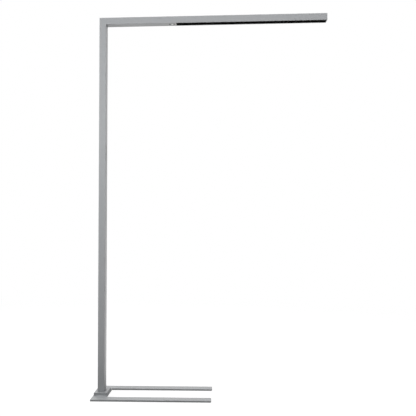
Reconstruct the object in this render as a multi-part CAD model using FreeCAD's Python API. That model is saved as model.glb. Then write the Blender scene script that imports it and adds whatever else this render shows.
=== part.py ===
"""Office floor lamp: a U-shaped steel base, a slim upright tube and a long arm mitred to its top.

The arm carries a black cell louvre underneath, an opal cover on top and two small sensors;
the upright carries a strip of three push keys, and a mains inlet on the side away from the arm.
Row frame, in millimetres: origin on the floor under the upright's axis, +X along the arm,
+Y to the rear, +Z up.
"""
import FreeCAD
import Part
import math
import os

Vector = FreeCAD.Vector

# ---- overall sizes ----
HEIGHT = 1975.0            # floor to the top of the arm
REACH = 1182.5             # upright's axis to the outer end of the arm
TUBE_FACE = 35.0           # face of the tube that shows from the front
TUBE_DEPTH = 50.0          # tube, front to rear
TUBE_WALL = 2.5
TUBE_EDGE_R = 1.0          # outer corner radius of the tube
TUBE_INNER_R = 0.2
MITRE_GAP = 0.15           # hairline between the two mitred tubes

# ---- base ----
BASE_BACK = -33.0          # edge of the base behind the upright
BASE_LENGTH = 600.0
BASE_DEPTH = 270.0
BASE_THICK = 8.0
SPINE_WIDTH = 71.0
PRONG_WIDTH = 55.0
BASE_OUTER_R = 3.0
BASE_INNER_R = 4.0
BASE_EDGE_R = 0.8
MAT_THICK = 1.0
MAT_INSET = 3.0
MAT_JOINT = 1.0            # gap between neighbouring strips of the mat
BLOCK_INSET_BACK = 2.0     # from the edges of the spine
BLOCK_INSET_FRONT = 1.0
BLOCK_DEPTH = 107.0
BLOCK_THICK = 12.0
BLOCK_CHAMFER = 0.8
GASKET_THICK = 1.5
GASKET_INSET = 0.6
SPIGOT_HEIGHT = 95.0
SPIGOT_FLOOR = 16.0
SPIGOT_WALL = 5.0
SLIP = 0.25                # clearance of a piece that slides into a tube

# ---- fasteners: thread radius, head radius, head height ----
BASE_BOLT = (3.0, 6.0, 3.0)
BLOCK_SCREW = (3.0, 6.0, 3.0)
FOOT_SCREW = (2.5, 4.6, 2.0)
CORNER_SCREW = (2.5, 4.6, 2.0)
END_SCREW = (1.7, 3.6, 1.7)
CONTROL_SCREW = (0.9, 1.7, 0.9)
BOLT_PITCH = 14.0                   # three bolts in a row under the spigot
BLOCK_SCREW_INSET = 12.5            # from the ends of the block
FOOT_SCREW_RISES = (25.0, 70.0)     # above the foot of the tube
END_SCREW_GRIP = 13.0               # length in the arm's screw ports
HEX_SHARE = 1.1                     # socket's half width across corners, of the thread radius
HEX_DEPTH_SHARE = 0.8               # socket's depth, of the head's height
SCREW_CLEAR = 0.1
TIP_INSET = 0.4                     # screws stop short of the far face by this much
BOLT_TIP_INSET = 3.0

# ---- mains inlet ----
INLET_RISE = 150.0         # inlet's centre above the floor
INLET_WIDTH = 27.0
INLET_TALL = 20.0
INLET_FLANGE = 2.2         # flange stands out this far around the body
INLET_FLANGE_THICK = 1.6
INLET_BODY = 22.0
INLET_WALL = 1.4
INLET_CORNER_R = 2.0
INLET_KEYING = 4.0         # slanted upper corners of the socket
INLET_SOCKET = 17.0        # depth of the socket
PIN_LENGTH = 14.0
PIN_WIDE = 2.0
PIN_TALL = 4.0
PIN_SPACING = 7.0          # live and neutral, either side of the centre
PIN_OFFSET = 2.0           # earth above and the other two below the centre
TAB_CLEAR = 2.5            # from the tabs to the wall facing them
TAB_WIDE = 0.8
TAB_TALL = 6.3
WIRE_R = 1.3

# ---- driver and wiring inside the upright ----
DRIVER_FACE = 21.0
DRIVER_DEPTH = 30.0
DRIVER_LENGTH = 360.0
DRIVER_ABOVE_INLET = 60.0
DRIVER_EDGE_R = 1.5
HOLDER_TALL = 12.0
HOLDER_INSET = 30.0        # holder's near face from each end of the driver
LOOM_R = 2.5
LOOM_CLEAR = 1.0           # from the loom to the bracket beside it
LOOM_BEND_R = 34.0
CLIP_COUNT = 4             # in the upright, evenly spaced
CLIP_TALL = 10.0
CLIP_DEPTH = 12.0
CLIP_LIP = 1.5             # clip's wall beyond the loom

# ---- control strip ----
STRIP_RISE = 1250.0        # centre of the strip above the floor
STRIP_TALL = 100.0
STRIP_WIDTH = 20.0
STRIP_FIT = 0.1
BEZEL_FLANGE = 2.6
BEZEL_FLANGE_THICK = 1.5
KEY_COUNT = 3
KEY_RIM = 2.5              # bezel beside the keys
KEY_END_RIM = 2.0          # bezel beyond the row of keys, with half a bridge
KEY_BRIDGE = 3.0           # bezel between two keys
KEY_GAP = 0.3
KEY_PROUD = 0.4
KEY_TRAVEL = 0.8
KEY_EDGE_R = 1.5
KEY_FACE_R = 0.3
KEY_SKIRT = 1.0            # skirt behind the bezel, beyond the key's outline
KEY_SKIRT_THICK = 1.1
KEY_REST_GAP = 0.1
STEM_R = 1.7
STEM_CLEAR = 0.05
SWITCH_SIDE = 6.0
SWITCH_TALL = 3.4
SWITCH_BORE = 2.0
STEM_DEPTH = 1.0           # stem in the switch at rest
PCB_THICK = 1.6
HOUSING_WALL = 1.5
HOUSING_END = 4.8
HOUSING_DEEP = 11.0

# ---- corner of the two tubes ----
BRACKET_THICK = 5.0
BRACKET_LEG = 75.0
BRACKET_CHAMFER = 5.0
CORNER_SCREW_PLACES = (38.0, 62.0)  # from the outer corner

# ---- arm: heights are above its underside ----
CELLS = 20
CELL_PITCH = 39.3
CELL_WALL = 1.2
CELL_SKIN = 1.2            # wall of the tapered hoods above the cells
OPTIC_END_MARGIN = 5.0     # last cell wall to the end of the arm
SLOT_LIP = 4.5             # tube's face left beside the slots above and below
SLOT_FIT = 0.2
TRIM_LENGTH = 8.5
LOUVRE_RECESS = 0.8
LOUVRE_TOP = 14.0
LOUVRE_FLANGE_THICK = 1.4
LOUVRE_SIDE = 1.2
CELL_THROAT = 9.0          # square hole round each light source
LED_SIDE = 3.5
LED_TALL = 0.7
BOARD_THICK = 1.6
BOARD_INSET = 3.5          # board's edge from the slot's edge
UP_BOARD_GAP = 1.3         # board's edge to the screw ports
CARRIER_THICK = 2.5
CARRIER_LEAD = 52.0        # carrier starts this far before the optic
CARRIER_END_GAP = 1.0
LEDGE_THICK = 1.2
LEDGE_WIDE = 2.0
PORT_R = 3.0
PORT_HOLE_R = 1.65
PORT_INSET = 2.7           # port's centre from the tube's inner wall
DIFFUSER_THICK = 2.2
DIFFUSER_RECESS = 0.4
DIFFUSER_FLANGE = 1.4
UP_LEDS_PER_CELL = 2
CAP_THICK = 3.0
CONNECTOR_LENGTH = 30.0
CONNECTOR_HALF = 9.0
CONNECTOR_TALL = 9.0

# ---- sensors in the arm's underside: centres are measured back from the optic ----
PIR_LEAD = 22.6
PIR_R = 5.4
PIR_DOME = 3.0
LIGHT_LEAD = 36.1
LIGHT_R = 3.2
INFRARED_LEAD = 12.8
INFRARED_R = 1.7
LENS_TOP = 6.0
LENS_FIT = 0.15
LENS_RECESS = 0.3
SENSOR_LEAD = 45.5
SENSOR_LENGTH = 35.8
SENSOR_HALF = 14.0
SENSOR_WALL = 1.5
SENSOR_PCB_RISE = 8.0
PIR_CAN_R = 4.2
SEAT_GAP = 0.1             # face of one seated piece to its neighbour's
OVERCUT = 1.0              # cutters run past the faces they open by this much

# ---- places that follow from the sizes above ----
FACE_HALF = TUBE_FACE / 2
DEPTH_HALF = TUBE_DEPTH / 2
INNER_FACE = FACE_HALF - TUBE_WALL
INNER_DEPTH = DEPTH_HALF - TUBE_WALL
PLATE_TOP = MAT_THICK + BASE_THICK
BLOCK_TOP = PLATE_TOP + BLOCK_THICK
TUBE_FOOT = BLOCK_TOP + GASKET_THICK
UNDERSIDE = HEIGHT - TUBE_FACE
BASE_FRONT = BASE_BACK + BASE_LENGTH
SPINE_FRONT = BASE_BACK + SPINE_WIDTH
BASE_HALF = BASE_DEPTH / 2
PRONG_INNER = BASE_HALF - PRONG_WIDTH
BLOCK_SPAN = (BASE_BACK + BLOCK_INSET_BACK, SPINE_FRONT - BLOCK_INSET_FRONT)
BLOCK_HALF = BLOCK_DEPTH / 2
TAB_ROOT = -FACE_HALF + INLET_BODY
TAB_END = INNER_FACE - TAB_CLEAR
DRIVER_RISE = INLET_RISE + DRIVER_ABOVE_INLET
LOOM_X = -INNER_FACE + BRACKET_THICK + LOOM_CLEAR + LOOM_R
KEY_PITCH = (STRIP_TALL - 2 * KEY_END_RIM) / KEY_COUNT
KEY_TALL = KEY_PITCH - KEY_BRIDGE
KEY_WIDTH = STRIP_WIDTH - 2 * KEY_RIM
OPTIC_END = REACH - OPTIC_END_MARGIN
OPTIC_START = OPTIC_END - CELLS * CELL_PITCH
PIR_X = OPTIC_START - PIR_LEAD
LIGHT_X = OPTIC_START - LIGHT_LEAD
INFRARED_X = OPTIC_START - INFRARED_LEAD
SENSOR_START = OPTIC_START - SENSOR_LEAD
CARRIER_START = OPTIC_START - CARRIER_LEAD
CONNECTOR_START = CARRIER_START - CONNECTOR_LENGTH
SLOT_HALF = DEPTH_HALF - SLOT_LIP
SLOT_START = OPTIC_START - CELL_WALL / 2 - TRIM_LENGTH - 2 * SLOT_FIT
SLOT_END = REACH - CAP_THICK
BOARD_BOTTOM = LOUVRE_TOP + SEAT_GAP
CARRIER_BOTTOM = BOARD_BOTTOM + BOARD_THICK
CARRIER_TOP = CARRIER_BOTTOM + CARRIER_THICK
PORT_Y = INNER_DEPTH - PORT_INSET
PORT_RISE = CARRIER_TOP + PORT_R + SEAT_GAP
UP_BOARD_HALF = PORT_Y - PORT_R - UP_BOARD_GAP
CONTROL_FRONT = INNER_FACE - BEZEL_FLANGE_THICK
CONTROL_BACK = CONTROL_FRONT - HOUSING_DEEP
PCB_FRONT = CONTROL_BACK + HOUSING_WALL + PCB_THICK
SWITCH_FRONT = PCB_FRONT + SWITCH_TALL
LOOM_RISE = UNDERSIDE + CARRIER_BOTTOM + CARRIER_THICK / 2

UP = Vector(0, 0, 1)
DOWN = Vector(0, 0, -1)
RIGHT = Vector(1, 0, 0)
LEFT = Vector(-1, 0, 0)


# ---- small shape helpers ----
def block(x, y, z):
    """Box from three (low, high) pairs."""
    return Part.makeBox(x[1] - x[0], y[1] - y[0], z[1] - z[0], Vector(x[0], y[0], z[0]))


def rod(radius, start, end):
    """Round bar from one point to another."""
    run = end - start
    return Part.makeCylinder(radius, run.Length, start, run)


def rounded_prism(wide, deep, radius, length):
    """Prism along +Z on a centred rectangle with rounded corners."""
    half_w = wide / 2 - radius
    half_d = deep / 2 - radius
    bend = radius * math.sqrt(0.5)
    edges = []
    turns = [(1, 1, 0), (-1, 1, 1), (-1, -1, 2), (1, -1, 3)]
    previous = None
    first = None
    for sx, sy, quarter in turns:
        centre = Vector(sx * half_w, sy * half_d, 0)
        along = [Vector(1, 0, 0), Vector(0, 1, 0), Vector(-1, 0, 0), Vector(0, -1, 0)]
        begin = centre + along[quarter] * radius
        finish = centre + along[(quarter + 1) % 4] * radius
        middle = centre + Vector(sx * bend, sy * bend, 0)
        if previous is None:
            first = begin
        else:
            edges.append(Part.LineSegment(previous, begin).toShape())
        edges.append(Part.Arc(begin, middle, finish).toShape())
        previous = finish
    edges.append(Part.LineSegment(previous, first).toShape())
    return Part.Face(Part.Wire(edges)).extrude(Vector(0, 0, length))


def lie_along_x(shape):
    """Turn a shape so that its X, Y and Z lie along Y, Z and X."""
    turned = shape.copy()
    turned.rotate(Vector(0, 0, 0), Vector(1, 1, 1), 120)
    return turned


def aim(shape, place, direction):
    """Put a shape made along +Z at a place, pointing in a direction."""
    aimed = shape.copy()
    aimed.Placement = FreeCAD.Placement(place, FreeCAD.Rotation(UP, direction))
    return aimed


def moved(shape, x=0.0, y=0.0, z=0.0):
    shifted = shape.copy()
    shifted.translate(Vector(x, y, z))
    return shifted


def fused(shapes):
    """One solid out of several that meet."""
    whole = shapes[0].multiFuse(shapes[1:])
    return whole.removeSplitter()


def edges_where(shape, test):
    return [edge for edge in shape.Edges if test(edge)]


def flat_at(level):
    """Test for edges that lie level at one height."""
    def test(edge):
        box = edge.BoundBox
        return abs(box.ZMin - level) < 1e-6 and abs(box.ZMax - level) < 1e-6
    return test


def sunk_screw(size, length):
    """Countersunk screw with a hex socket, head flush at z = 0, pointing up +Z."""
    radius, head, tall = size
    body = fused([Part.makeCone(head, radius, tall), Part.makeCylinder(radius, length)])
    across = radius * HEX_SHARE
    corners = [Vector(across * math.cos(math.radians(a)), across * math.sin(math.radians(a)), 0)
               for a in range(0, 361, 60)]
    socket = Part.Face(Part.makePolygon(corners)).extrude(Vector(0, 0, tall * HEX_DEPTH_SHARE))
    return body.cut(socket)


def sunk_hole(size, length):
    """Cutter for the hole that a countersunk screw sits in."""
    radius, head, tall = size
    grown = head + SCREW_CLEAR
    mouth = Part.makeCylinder(grown, OVERCUT, Vector(0, 0, -OVERCUT))
    cone = Part.makeCone(grown, radius + SCREW_CLEAR, tall)
    shank = Part.makeCylinder(radius + SCREW_CLEAR, length + SCREW_CLEAR)
    return mouth.fuse([cone, shank])


def screws_and_holes(size, length, places, direction):
    """The same screw at several places, and the cutters for its holes."""
    screws = [aim(sunk_screw(size, length), place, direction) for place in places]
    holes = [aim(sunk_hole(size, length), place, direction) for place in places]
    return screws, holes


def tube(length):
    """Hollow rectangular tube along +Z, its narrow face across X."""
    outside = rounded_prism(TUBE_FACE, TUBE_DEPTH, TUBE_EDGE_R, length)
    inside = rounded_prism(2 * INNER_FACE, 2 * INNER_DEPTH, TUBE_INNER_R, length)
    return outside.cut(inside)


def mitre_wedge(above):
    """Space above or below the 45 degree plane through the tubes' outer and inner corners."""
    size = 3 * TUBE_FACE
    side = 1 if above else -1
    outer = Vector(-FACE_HALF, 0, HEIGHT - side * MITRE_GAP / 2)
    run = Vector(1, 0, -1) * size
    away = Vector(1, 0, 1) * side * size
    corners = [outer - run, outer + run, outer + run + away, outer - run + away, outer - run]
    corners = [point - Vector(0, TUBE_DEPTH, 0) for point in corners]
    return Part.Face(Part.makePolygon(corners)).extrude(Vector(0, 2 * TUBE_DEPTH, 0))


# ---- base ----
def base_bolt_places():
    return [Vector(0, row * BOLT_PITCH, MAT_THICK) for row in (-1, 0, 1)]


def block_screw_places():
    middle = sum(BLOCK_SPAN) / 2
    away = BLOCK_HALF - BLOCK_SCREW_INSET
    return [Vector(middle, side * away, MAT_THICK) for side in (-1, 1)]


def base_plate(holes):
    """U-shaped plate: a spine under the upright and two prongs below the arm."""
    z = (MAT_THICK, PLATE_TOP)
    plate = block((BASE_BACK, BASE_FRONT), (-BASE_HALF, BASE_HALF), z)
    gap = block((SPINE_FRONT, BASE_FRONT + OVERCUT), (-PRONG_INNER, PRONG_INNER), z)
    plate = plate.cut(gap)

    def upright_at(x, y):
        def test(edge):
            box = edge.BoundBox
            return (box.ZLength > BASE_THICK / 2 and abs(box.XMin - x) < 1e-6
                    and abs(abs(box.YMin) - y) < 1e-6)
        return test
    inner = edges_where(plate, upright_at(SPINE_FRONT, PRONG_INNER))
    plate = plate.makeFillet(BASE_INNER_R, inner)
    for x, y in ((BASE_BACK, BASE_HALF), (BASE_FRONT, BASE_HALF), (BASE_FRONT, PRONG_INNER)):
        plate = plate.makeFillet(BASE_OUTER_R, edges_where(plate, upright_at(x, y)))
    plate = plate.makeFillet(BASE_EDGE_R, edges_where(plate, flat_at(PLATE_TOP)))
    return plate.cut(holes)


def base_mat():
    """Anti-slip mat: one strip under the spine and one under each prong."""
    z = (0.0, MAT_THICK)
    edge = BASE_HALF - MAT_INSET
    spine_end = SPINE_FRONT - MAT_INSET
    strips = [block((BASE_BACK + MAT_INSET, spine_end), (-edge, edge), z)]
    for side in (-1, 1):
        y = sorted((side * (PRONG_INNER + MAT_INSET), side * edge))
        strips.append(block((spine_end + MAT_JOINT, BASE_FRONT - MAT_INSET), y, z))
    return strips


def foot_block(holes):
    body = block(BLOCK_SPAN, (-BLOCK_HALF, BLOCK_HALF), (PLATE_TOP, BLOCK_TOP))
    body = body.makeChamfer(BLOCK_CHAMFER, edges_where(body, flat_at(BLOCK_TOP)))
    return body.cut(holes)


def spigot_size():
    return 2 * (INNER_FACE - SLIP), 2 * (INNER_DEPTH - SLIP)


def post_gasket():
    """Thin frame between the block and the foot of the tube, round the spigot."""
    wide, deep = TUBE_FACE - 2 * GASKET_INSET, TUBE_DEPTH - 2 * GASKET_INSET
    outside = rounded_prism(wide, deep, TUBE_EDGE_R, GASKET_THICK)
    inner_wide, inner_deep = (size + SLIP for size in spigot_size())
    inside = rounded_prism(inner_wide, inner_deep, TUBE_EDGE_R, GASKET_THICK)
    return moved(outside.cut(inside), z=BLOCK_TOP)


def post_spigot(holes):
    """Steel socket that the upright slides over: thick floor, open above."""
    wide, deep = spigot_size()
    outside = rounded_prism(wide, deep, TUBE_EDGE_R, SPIGOT_HEIGHT)
    inside = rounded_prism(wide - 2 * SPIGOT_WALL, deep - 2 * SPIGOT_WALL, TUBE_EDGE_R,
                           SPIGOT_HEIGHT - SPIGOT_FLOOR)
    return moved(outside.cut(moved(inside, z=SPIGOT_FLOOR)), z=BLOCK_TOP).cut(holes)


# ---- mains inlet ----
def inlet_body(width, tall, start, length):
    """Rectangular stretch of the inlet, from a plane at `start` towards the arm."""
    y = (-width / 2, width / 2)
    z = (INLET_RISE - tall / 2, INLET_RISE + tall / 2)
    return block((start, start + length), y, z)


def pin_places():
    return [(-PIN_SPACING, -PIN_OFFSET), (PIN_SPACING, -PIN_OFFSET), (0.0, PIN_OFFSET)]


def mains_inlet():
    """Appliance inlet: flange outside the tube, body inside it, socket facing away from the arm."""
    face = -FACE_HALF - INLET_FLANGE_THICK
    flange = inlet_body(INLET_WIDTH + 2 * INLET_FLANGE, INLET_TALL + 2 * INLET_FLANGE, face,
                        INLET_FLANGE_THICK)
    outer_edges = edges_where(flange, lambda e: e.BoundBox.XLength > INLET_FLANGE_THICK / 2)
    flange = flange.makeFillet(INLET_CORNER_R, outer_edges)
    body = inlet_body(INLET_WIDTH, INLET_TALL, -FACE_HALF, INLET_BODY)
    socket = inlet_body(INLET_WIDTH - 2 * INLET_WALL, INLET_TALL - 2 * INLET_WALL, face,
                        INLET_SOCKET)
    keyed = edges_where(socket, lambda e: e.BoundBox.XLength > INLET_SOCKET / 2
                        and e.BoundBox.ZMin > INLET_RISE)
    socket = socket.makeChamfer(INLET_KEYING, keyed)
    inlet = fused([flange, body]).cut(socket)
    root = face + INLET_SOCKET
    for y, z in pin_places():
        slot = block((root, root + INLET_BODY), (y - PIN_WIDE / 2, y + PIN_WIDE / 2),
                     (INLET_RISE + z - PIN_TALL / 2, INLET_RISE + z + PIN_TALL / 2))
        inlet = inlet.cut(slot)
    return inlet


def inlet_pins():
    """Three blades in the socket, each one piece with its tab behind the inlet."""
    pins = []
    root = -FACE_HALF - INLET_FLANGE_THICK + INLET_SOCKET
    for y, z in pin_places():
        middle = INLET_RISE + z
        blade = block((root - PIN_LENGTH, TAB_ROOT), (y - PIN_WIDE / 2, y + PIN_WIDE / 2),
                      (middle - PIN_TALL / 2, middle + PIN_TALL / 2))
        tab = block((TAB_ROOT, TAB_END), (y - TAB_WIDE / 2, y + TAB_WIDE / 2),
                    (middle - TAB_TALL / 2, middle + TAB_TALL / 2))
        pins.append(fused([blade, tab]))
    return pins


def mains_wires():
    """Straight wires from the inlet's tabs up to the driver."""
    x = TAB_ROOT + SEAT_GAP + WIRE_R
    return [rod(WIRE_R, Vector(x, y, INLET_RISE + z + TAB_TALL / 2), Vector(x, y, DRIVER_RISE))
            for y, z in pin_places()]


# ---- driver and loom ----
def led_driver():
    body = rounded_prism(DRIVER_FACE, DRIVER_DEPTH, DRIVER_EDGE_R, DRIVER_LENGTH)
    return moved(body, z=DRIVER_RISE)


def driver_holders():
    """Two plastic frames that hold the driver in the middle of the tube."""
    wide, deep = spigot_size()
    frame = rounded_prism(wide, deep, TUBE_EDGE_R, HOLDER_TALL)
    window = rounded_prism(DRIVER_FACE + 2 * SEAT_GAP, DRIVER_DEPTH + 2 * SEAT_GAP,
                           DRIVER_EDGE_R, HOLDER_TALL)
    frame = frame.cut(window)
    low = DRIVER_RISE + HOLDER_INSET
    high = DRIVER_RISE + DRIVER_LENGTH - HOLDER_INSET - HOLDER_TALL
    return [moved(frame, z=low), moved(frame, z=high)]


def wiring_loom():
    """Loom from the driver up the upright, round the corner and along the arm."""
    start = Vector(LOOM_X, 0, DRIVER_RISE + DRIVER_LENGTH)
    bend_start = Vector(LOOM_X, 0, LOOM_RISE - LOOM_BEND_R)
    middle = Vector(LOOM_X + LOOM_BEND_R * (1 - math.sqrt(0.5)), 0,
                    LOOM_RISE - LOOM_BEND_R * (1 - math.sqrt(0.5)))
    bend_end = Vector(LOOM_X + LOOM_BEND_R, 0, LOOM_RISE)
    end = Vector(CONNECTOR_START, 0, LOOM_RISE)
    path = Part.Wire([Part.LineSegment(start, bend_start).toShape(),
                      Part.Arc(bend_start, middle, bend_end).toShape(),
                      Part.LineSegment(bend_end, end).toShape()])
    section = Part.Wire([Part.makeCircle(LOOM_R, start, UP)])
    loom = path.makePipeShell([section], True, False)
    return loom


def loom_clips():
    """Saddles that hold the loom to the wall behind it."""
    clips = []
    bore_r = LOOM_R + SEAT_GAP
    lowest = DRIVER_RISE + DRIVER_LENGTH
    step = (HEIGHT - BRACKET_LEG - lowest) / (CLIP_COUNT + 1)
    for rise in [lowest + step * (n + 1) for n in range(CLIP_COUNT)]:
        saddle = block((-INNER_FACE, LOOM_X + LOOM_R + CLIP_LIP),
                       (-CLIP_DEPTH / 2, CLIP_DEPTH / 2), (rise, rise + CLIP_TALL))
        hole = rod(bore_r, Vector(LOOM_X, 0, rise), Vector(LOOM_X, 0, rise + CLIP_TALL))
        clips.append(saddle.cut(hole))
    middle = (BRACKET_LEG + CONNECTOR_START) / 2
    x = (middle - CLIP_TALL / 2, middle + CLIP_TALL / 2)
    saddle = block(x, (-CLIP_DEPTH / 2, CLIP_DEPTH / 2),
                   (LOOM_RISE - LOOM_R - CLIP_LIP, HEIGHT - TUBE_WALL))
    clips.append(saddle.cut(rod(bore_r, Vector(x[0], 0, LOOM_RISE), Vector(x[1], 0, LOOM_RISE))))
    return clips


# ---- control strip ----
def strip_plate(width, tall, radius, back, front):
    """Rounded plate parallel to the tube's face, centred on the strip."""
    plate = rounded_prism(tall, width, radius, front - back)
    plate.rotate(Vector(0, 0, 0), Vector(0, 1, 0), 90)
    return moved(plate, x=back, z=STRIP_RISE)


def key_rises():
    return {"key_brighter": KEY_PITCH, "key_power": 0.0, "key_dimmer": -KEY_PITCH}


def control_screw_places():
    away = STRIP_TALL / 2 + BEZEL_FLANGE - HOUSING_END / 2
    return [Vector(CONTROL_BACK, 0, STRIP_RISE + side * away) for side in (-1, 1)]


def control_bezel(holes):
    """Frame flush with the tube's face, with a flange behind the wall and a window per key."""
    frame = strip_plate(STRIP_WIDTH - 2 * STRIP_FIT, STRIP_TALL - 2 * STRIP_FIT, KEY_EDGE_R,
                        INNER_FACE - BEZEL_FLANGE_THICK, FACE_HALF)
    flange = strip_plate(STRIP_WIDTH + 2 * BEZEL_FLANGE, STRIP_TALL + 2 * BEZEL_FLANGE,
                         KEY_EDGE_R, CONTROL_FRONT, INNER_FACE)
    bezel = fused([frame, flange])
    window = strip_plate(KEY_WIDTH + 2 * KEY_GAP, KEY_TALL + 2 * KEY_GAP, KEY_EDGE_R,
                         CONTROL_FRONT, FACE_HALF)
    for rise in key_rises().values():
        bezel = bezel.cut(moved(window, z=rise))
    return bezel.cut(holes)


def key(rise):
    """Push key: cap through the bezel, skirt behind it and a stem into its switch."""
    skirt_front = CONTROL_FRONT - KEY_REST_GAP
    skirt_back = skirt_front - KEY_SKIRT_THICK
    cap = strip_plate(KEY_WIDTH, KEY_TALL, KEY_EDGE_R, skirt_back, FACE_HALF + KEY_PROUD)
    face = edges_where(cap, lambda e: e.BoundBox.XMin > FACE_HALF)
    cap = cap.makeFillet(KEY_FACE_R, face)
    skirt = strip_plate(KEY_WIDTH + 2 * KEY_SKIRT, KEY_TALL + 2 * KEY_SKIRT, KEY_EDGE_R,
                        skirt_back, skirt_front)
    stem = rod(STEM_R, Vector(SWITCH_FRONT - STEM_DEPTH, 0, STRIP_RISE),
               Vector(skirt_back + KEY_SKIRT_THICK / 2, 0, STRIP_RISE))
    return moved(fused([cap, skirt, stem]), z=rise)


def control_housing(holes):
    """Tray behind the bezel: thick ends for its screws, thin back and sides."""
    width = STRIP_WIDTH + 2 * BEZEL_FLANGE
    tall = STRIP_TALL + 2 * BEZEL_FLANGE
    tray = strip_plate(width, tall, KEY_EDGE_R, CONTROL_BACK, CONTROL_FRONT)
    hollow = strip_plate(width - 2 * HOUSING_WALL, tall - 2 * HOUSING_END, KEY_EDGE_R,
                         CONTROL_BACK + HOUSING_WALL, CONTROL_FRONT)
    return tray.cut(hollow).cut(holes)


def control_pcb():
    width = STRIP_WIDTH + 2 * (BEZEL_FLANGE - HOUSING_WALL - SEAT_GAP)
    tall = STRIP_TALL + 2 * (BEZEL_FLANGE - HOUSING_END - SEAT_GAP)
    return strip_plate(width, tall, KEY_EDGE_R, PCB_FRONT - PCB_THICK, PCB_FRONT)


def key_switches():
    """One switch body behind each key, bored for the key's stem."""
    switches = []
    half = SWITCH_SIDE / 2
    for rise in key_rises().values():
        z = STRIP_RISE + rise
        body = block((PCB_FRONT, SWITCH_FRONT), (-half, half), (z - half, z + half))
        bore = rod(STEM_R + STEM_CLEAR, Vector(SWITCH_FRONT - SWITCH_BORE, 0, z),
                   Vector(SWITCH_FRONT, 0, z))
        switches.append(body.cut(bore))
    return switches


# ---- upright ----
def corner_screw_places():
    """Two screws through the rear side of the upright and two through the top of the arm."""
    sides = [Vector(-FACE_HALF, 0, HEIGHT - away) for away in CORNER_SCREW_PLACES]
    tops = [Vector(away - FACE_HALF, 0, HEIGHT) for away in CORNER_SCREW_PLACES]
    return sides, tops


def post_tube(holes):
    post = moved(tube(HEIGHT - TUBE_FOOT), z=TUBE_FOOT).cut(mitre_wedge(True))
    window = strip_plate(STRIP_WIDTH, STRIP_TALL, KEY_EDGE_R, INNER_FACE, FACE_HALF)
    inlet = inlet_body(INLET_WIDTH + 2 * SEAT_GAP, INLET_TALL + 2 * SEAT_GAP,
                       -FACE_HALF, TUBE_WALL)
    return post.cut([window, inlet] + holes)


def corner_bracket(holes):
    """L-shaped bracket inside the two outer walls of the corner."""
    half = INNER_DEPTH - SLIP
    outer_x = -INNER_FACE
    outer_z = HEIGHT - TUBE_WALL
    inner_x = outer_x + BRACKET_THICK
    inner_z = outer_z - BRACKET_THICK
    outline = [(outer_x, outer_z), (outer_x + BRACKET_LEG, outer_z),
               (outer_x + BRACKET_LEG, inner_z), (inner_x + BRACKET_CHAMFER, inner_z),
               (inner_x, inner_z - BRACKET_CHAMFER), (inner_x, outer_z - BRACKET_LEG),
               (outer_x, outer_z - BRACKET_LEG), (outer_x, outer_z)]
    points = [Vector(x, -half, z) for x, z in outline]
    bracket = Part.Face(Part.makePolygon(points)).extrude(Vector(0, 2 * half, 0))
    port_rooms = [port_rod(side, PORT_R + SLIP) for side in (-1, 1)]
    return bracket.cut(holes + port_rooms)


# ---- arm ----
def level(rise):
    """Height above the floor of a height above the arm's underside."""
    return UNDERSIDE + rise


def arm_bar(x, half, rises):
    """Box in the arm, centred front to rear, between two heights above its underside."""
    return block(x, (-half, half), (level(rises[0]), level(rises[1])))


def port_rod(side, radius):
    """Round bar along one of the arm's two screw ports, as far as the end cap."""
    y = side * PORT_Y
    return rod(radius, Vector(-FACE_HALF, y, level(PORT_RISE)),
               Vector(REACH - CAP_THICK, y, level(PORT_RISE)))


def arm_tube(holes):
    """Mitred tube with slots above and below the optic, screw ports and ledges inside."""
    end = REACH - CAP_THICK
    length = end + FACE_HALF
    shell = tube(length)
    shell.rotate(Vector(0, 0, 0), UP, 90)
    shell = moved(lie_along_x(shell), x=-FACE_HALF, z=level(FACE_HALF))
    parts = [shell]
    for side in (-1, 1):
        parts.append(port_rod(side, PORT_R))
        ledge_y = sorted((side * (INNER_DEPTH - LEDGE_WIDE), side * (INNER_DEPTH + TUBE_WALL / 2)))
        ledge_top = CARRIER_BOTTOM - SEAT_GAP
        parts.append(block((-FACE_HALF, end), ledge_y,
                           (level(ledge_top - LEDGE_THICK), level(ledge_top))))
    arm = fused(parts)
    cutters = [mitre_wedge(False)]
    cutters += [port_rod(side, PORT_HOLE_R) for side in (-1, 1)]
    for low in (0.0, TUBE_FACE - TUBE_WALL):
        cutters.append(arm_bar((SLOT_START, end + OVERCUT), SLOT_HALF, (low, low + TUBE_WALL)))
    for x, radius in ((PIR_X, PIR_R), (LIGHT_X, LIGHT_R), (INFRARED_X, INFRARED_R)):
        cutters.append(rod(radius + LENS_FIT, Vector(x, 0, level(0)),
                           Vector(x, 0, level(TUBE_WALL))))
    return arm.cut(cutters + holes)


def arm_end_cap(holes):
    plate = rounded_prism(TUBE_DEPTH, TUBE_FACE, TUBE_EDGE_R, CAP_THICK)
    plate = moved(lie_along_x(plate), x=REACH - CAP_THICK, z=level(FACE_HALF))
    return plate.cut(holes)


def end_screw_places():
    return [Vector(REACH, side * PORT_Y, level(PORT_RISE)) for side in (-1, 1)]


def carrier_end():
    return REACH - CAP_THICK - CARRIER_END_GAP


def led_carrier():
    half = INNER_DEPTH - SLIP
    return arm_bar((CARRIER_START, carrier_end()), half, (CARRIER_BOTTOM, CARRIER_TOP))


def board_span():
    return (OPTIC_START, OPTIC_END)


def downlight_board():
    return arm_bar(board_span(), SLOT_HALF - BOARD_INSET, (BOARD_BOTTOM, CARRIER_BOTTOM))


def cell_middles():
    return [OPTIC_START + (cell + 0.5) * CELL_PITCH for cell in range(CELLS)]


def downlight_leds():
    half = LED_SIDE / 2
    return [arm_bar((x - half, x + half), half, (BOARD_BOTTOM - LED_TALL, BOARD_BOTTOM))
            for x in cell_middles()]


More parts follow.
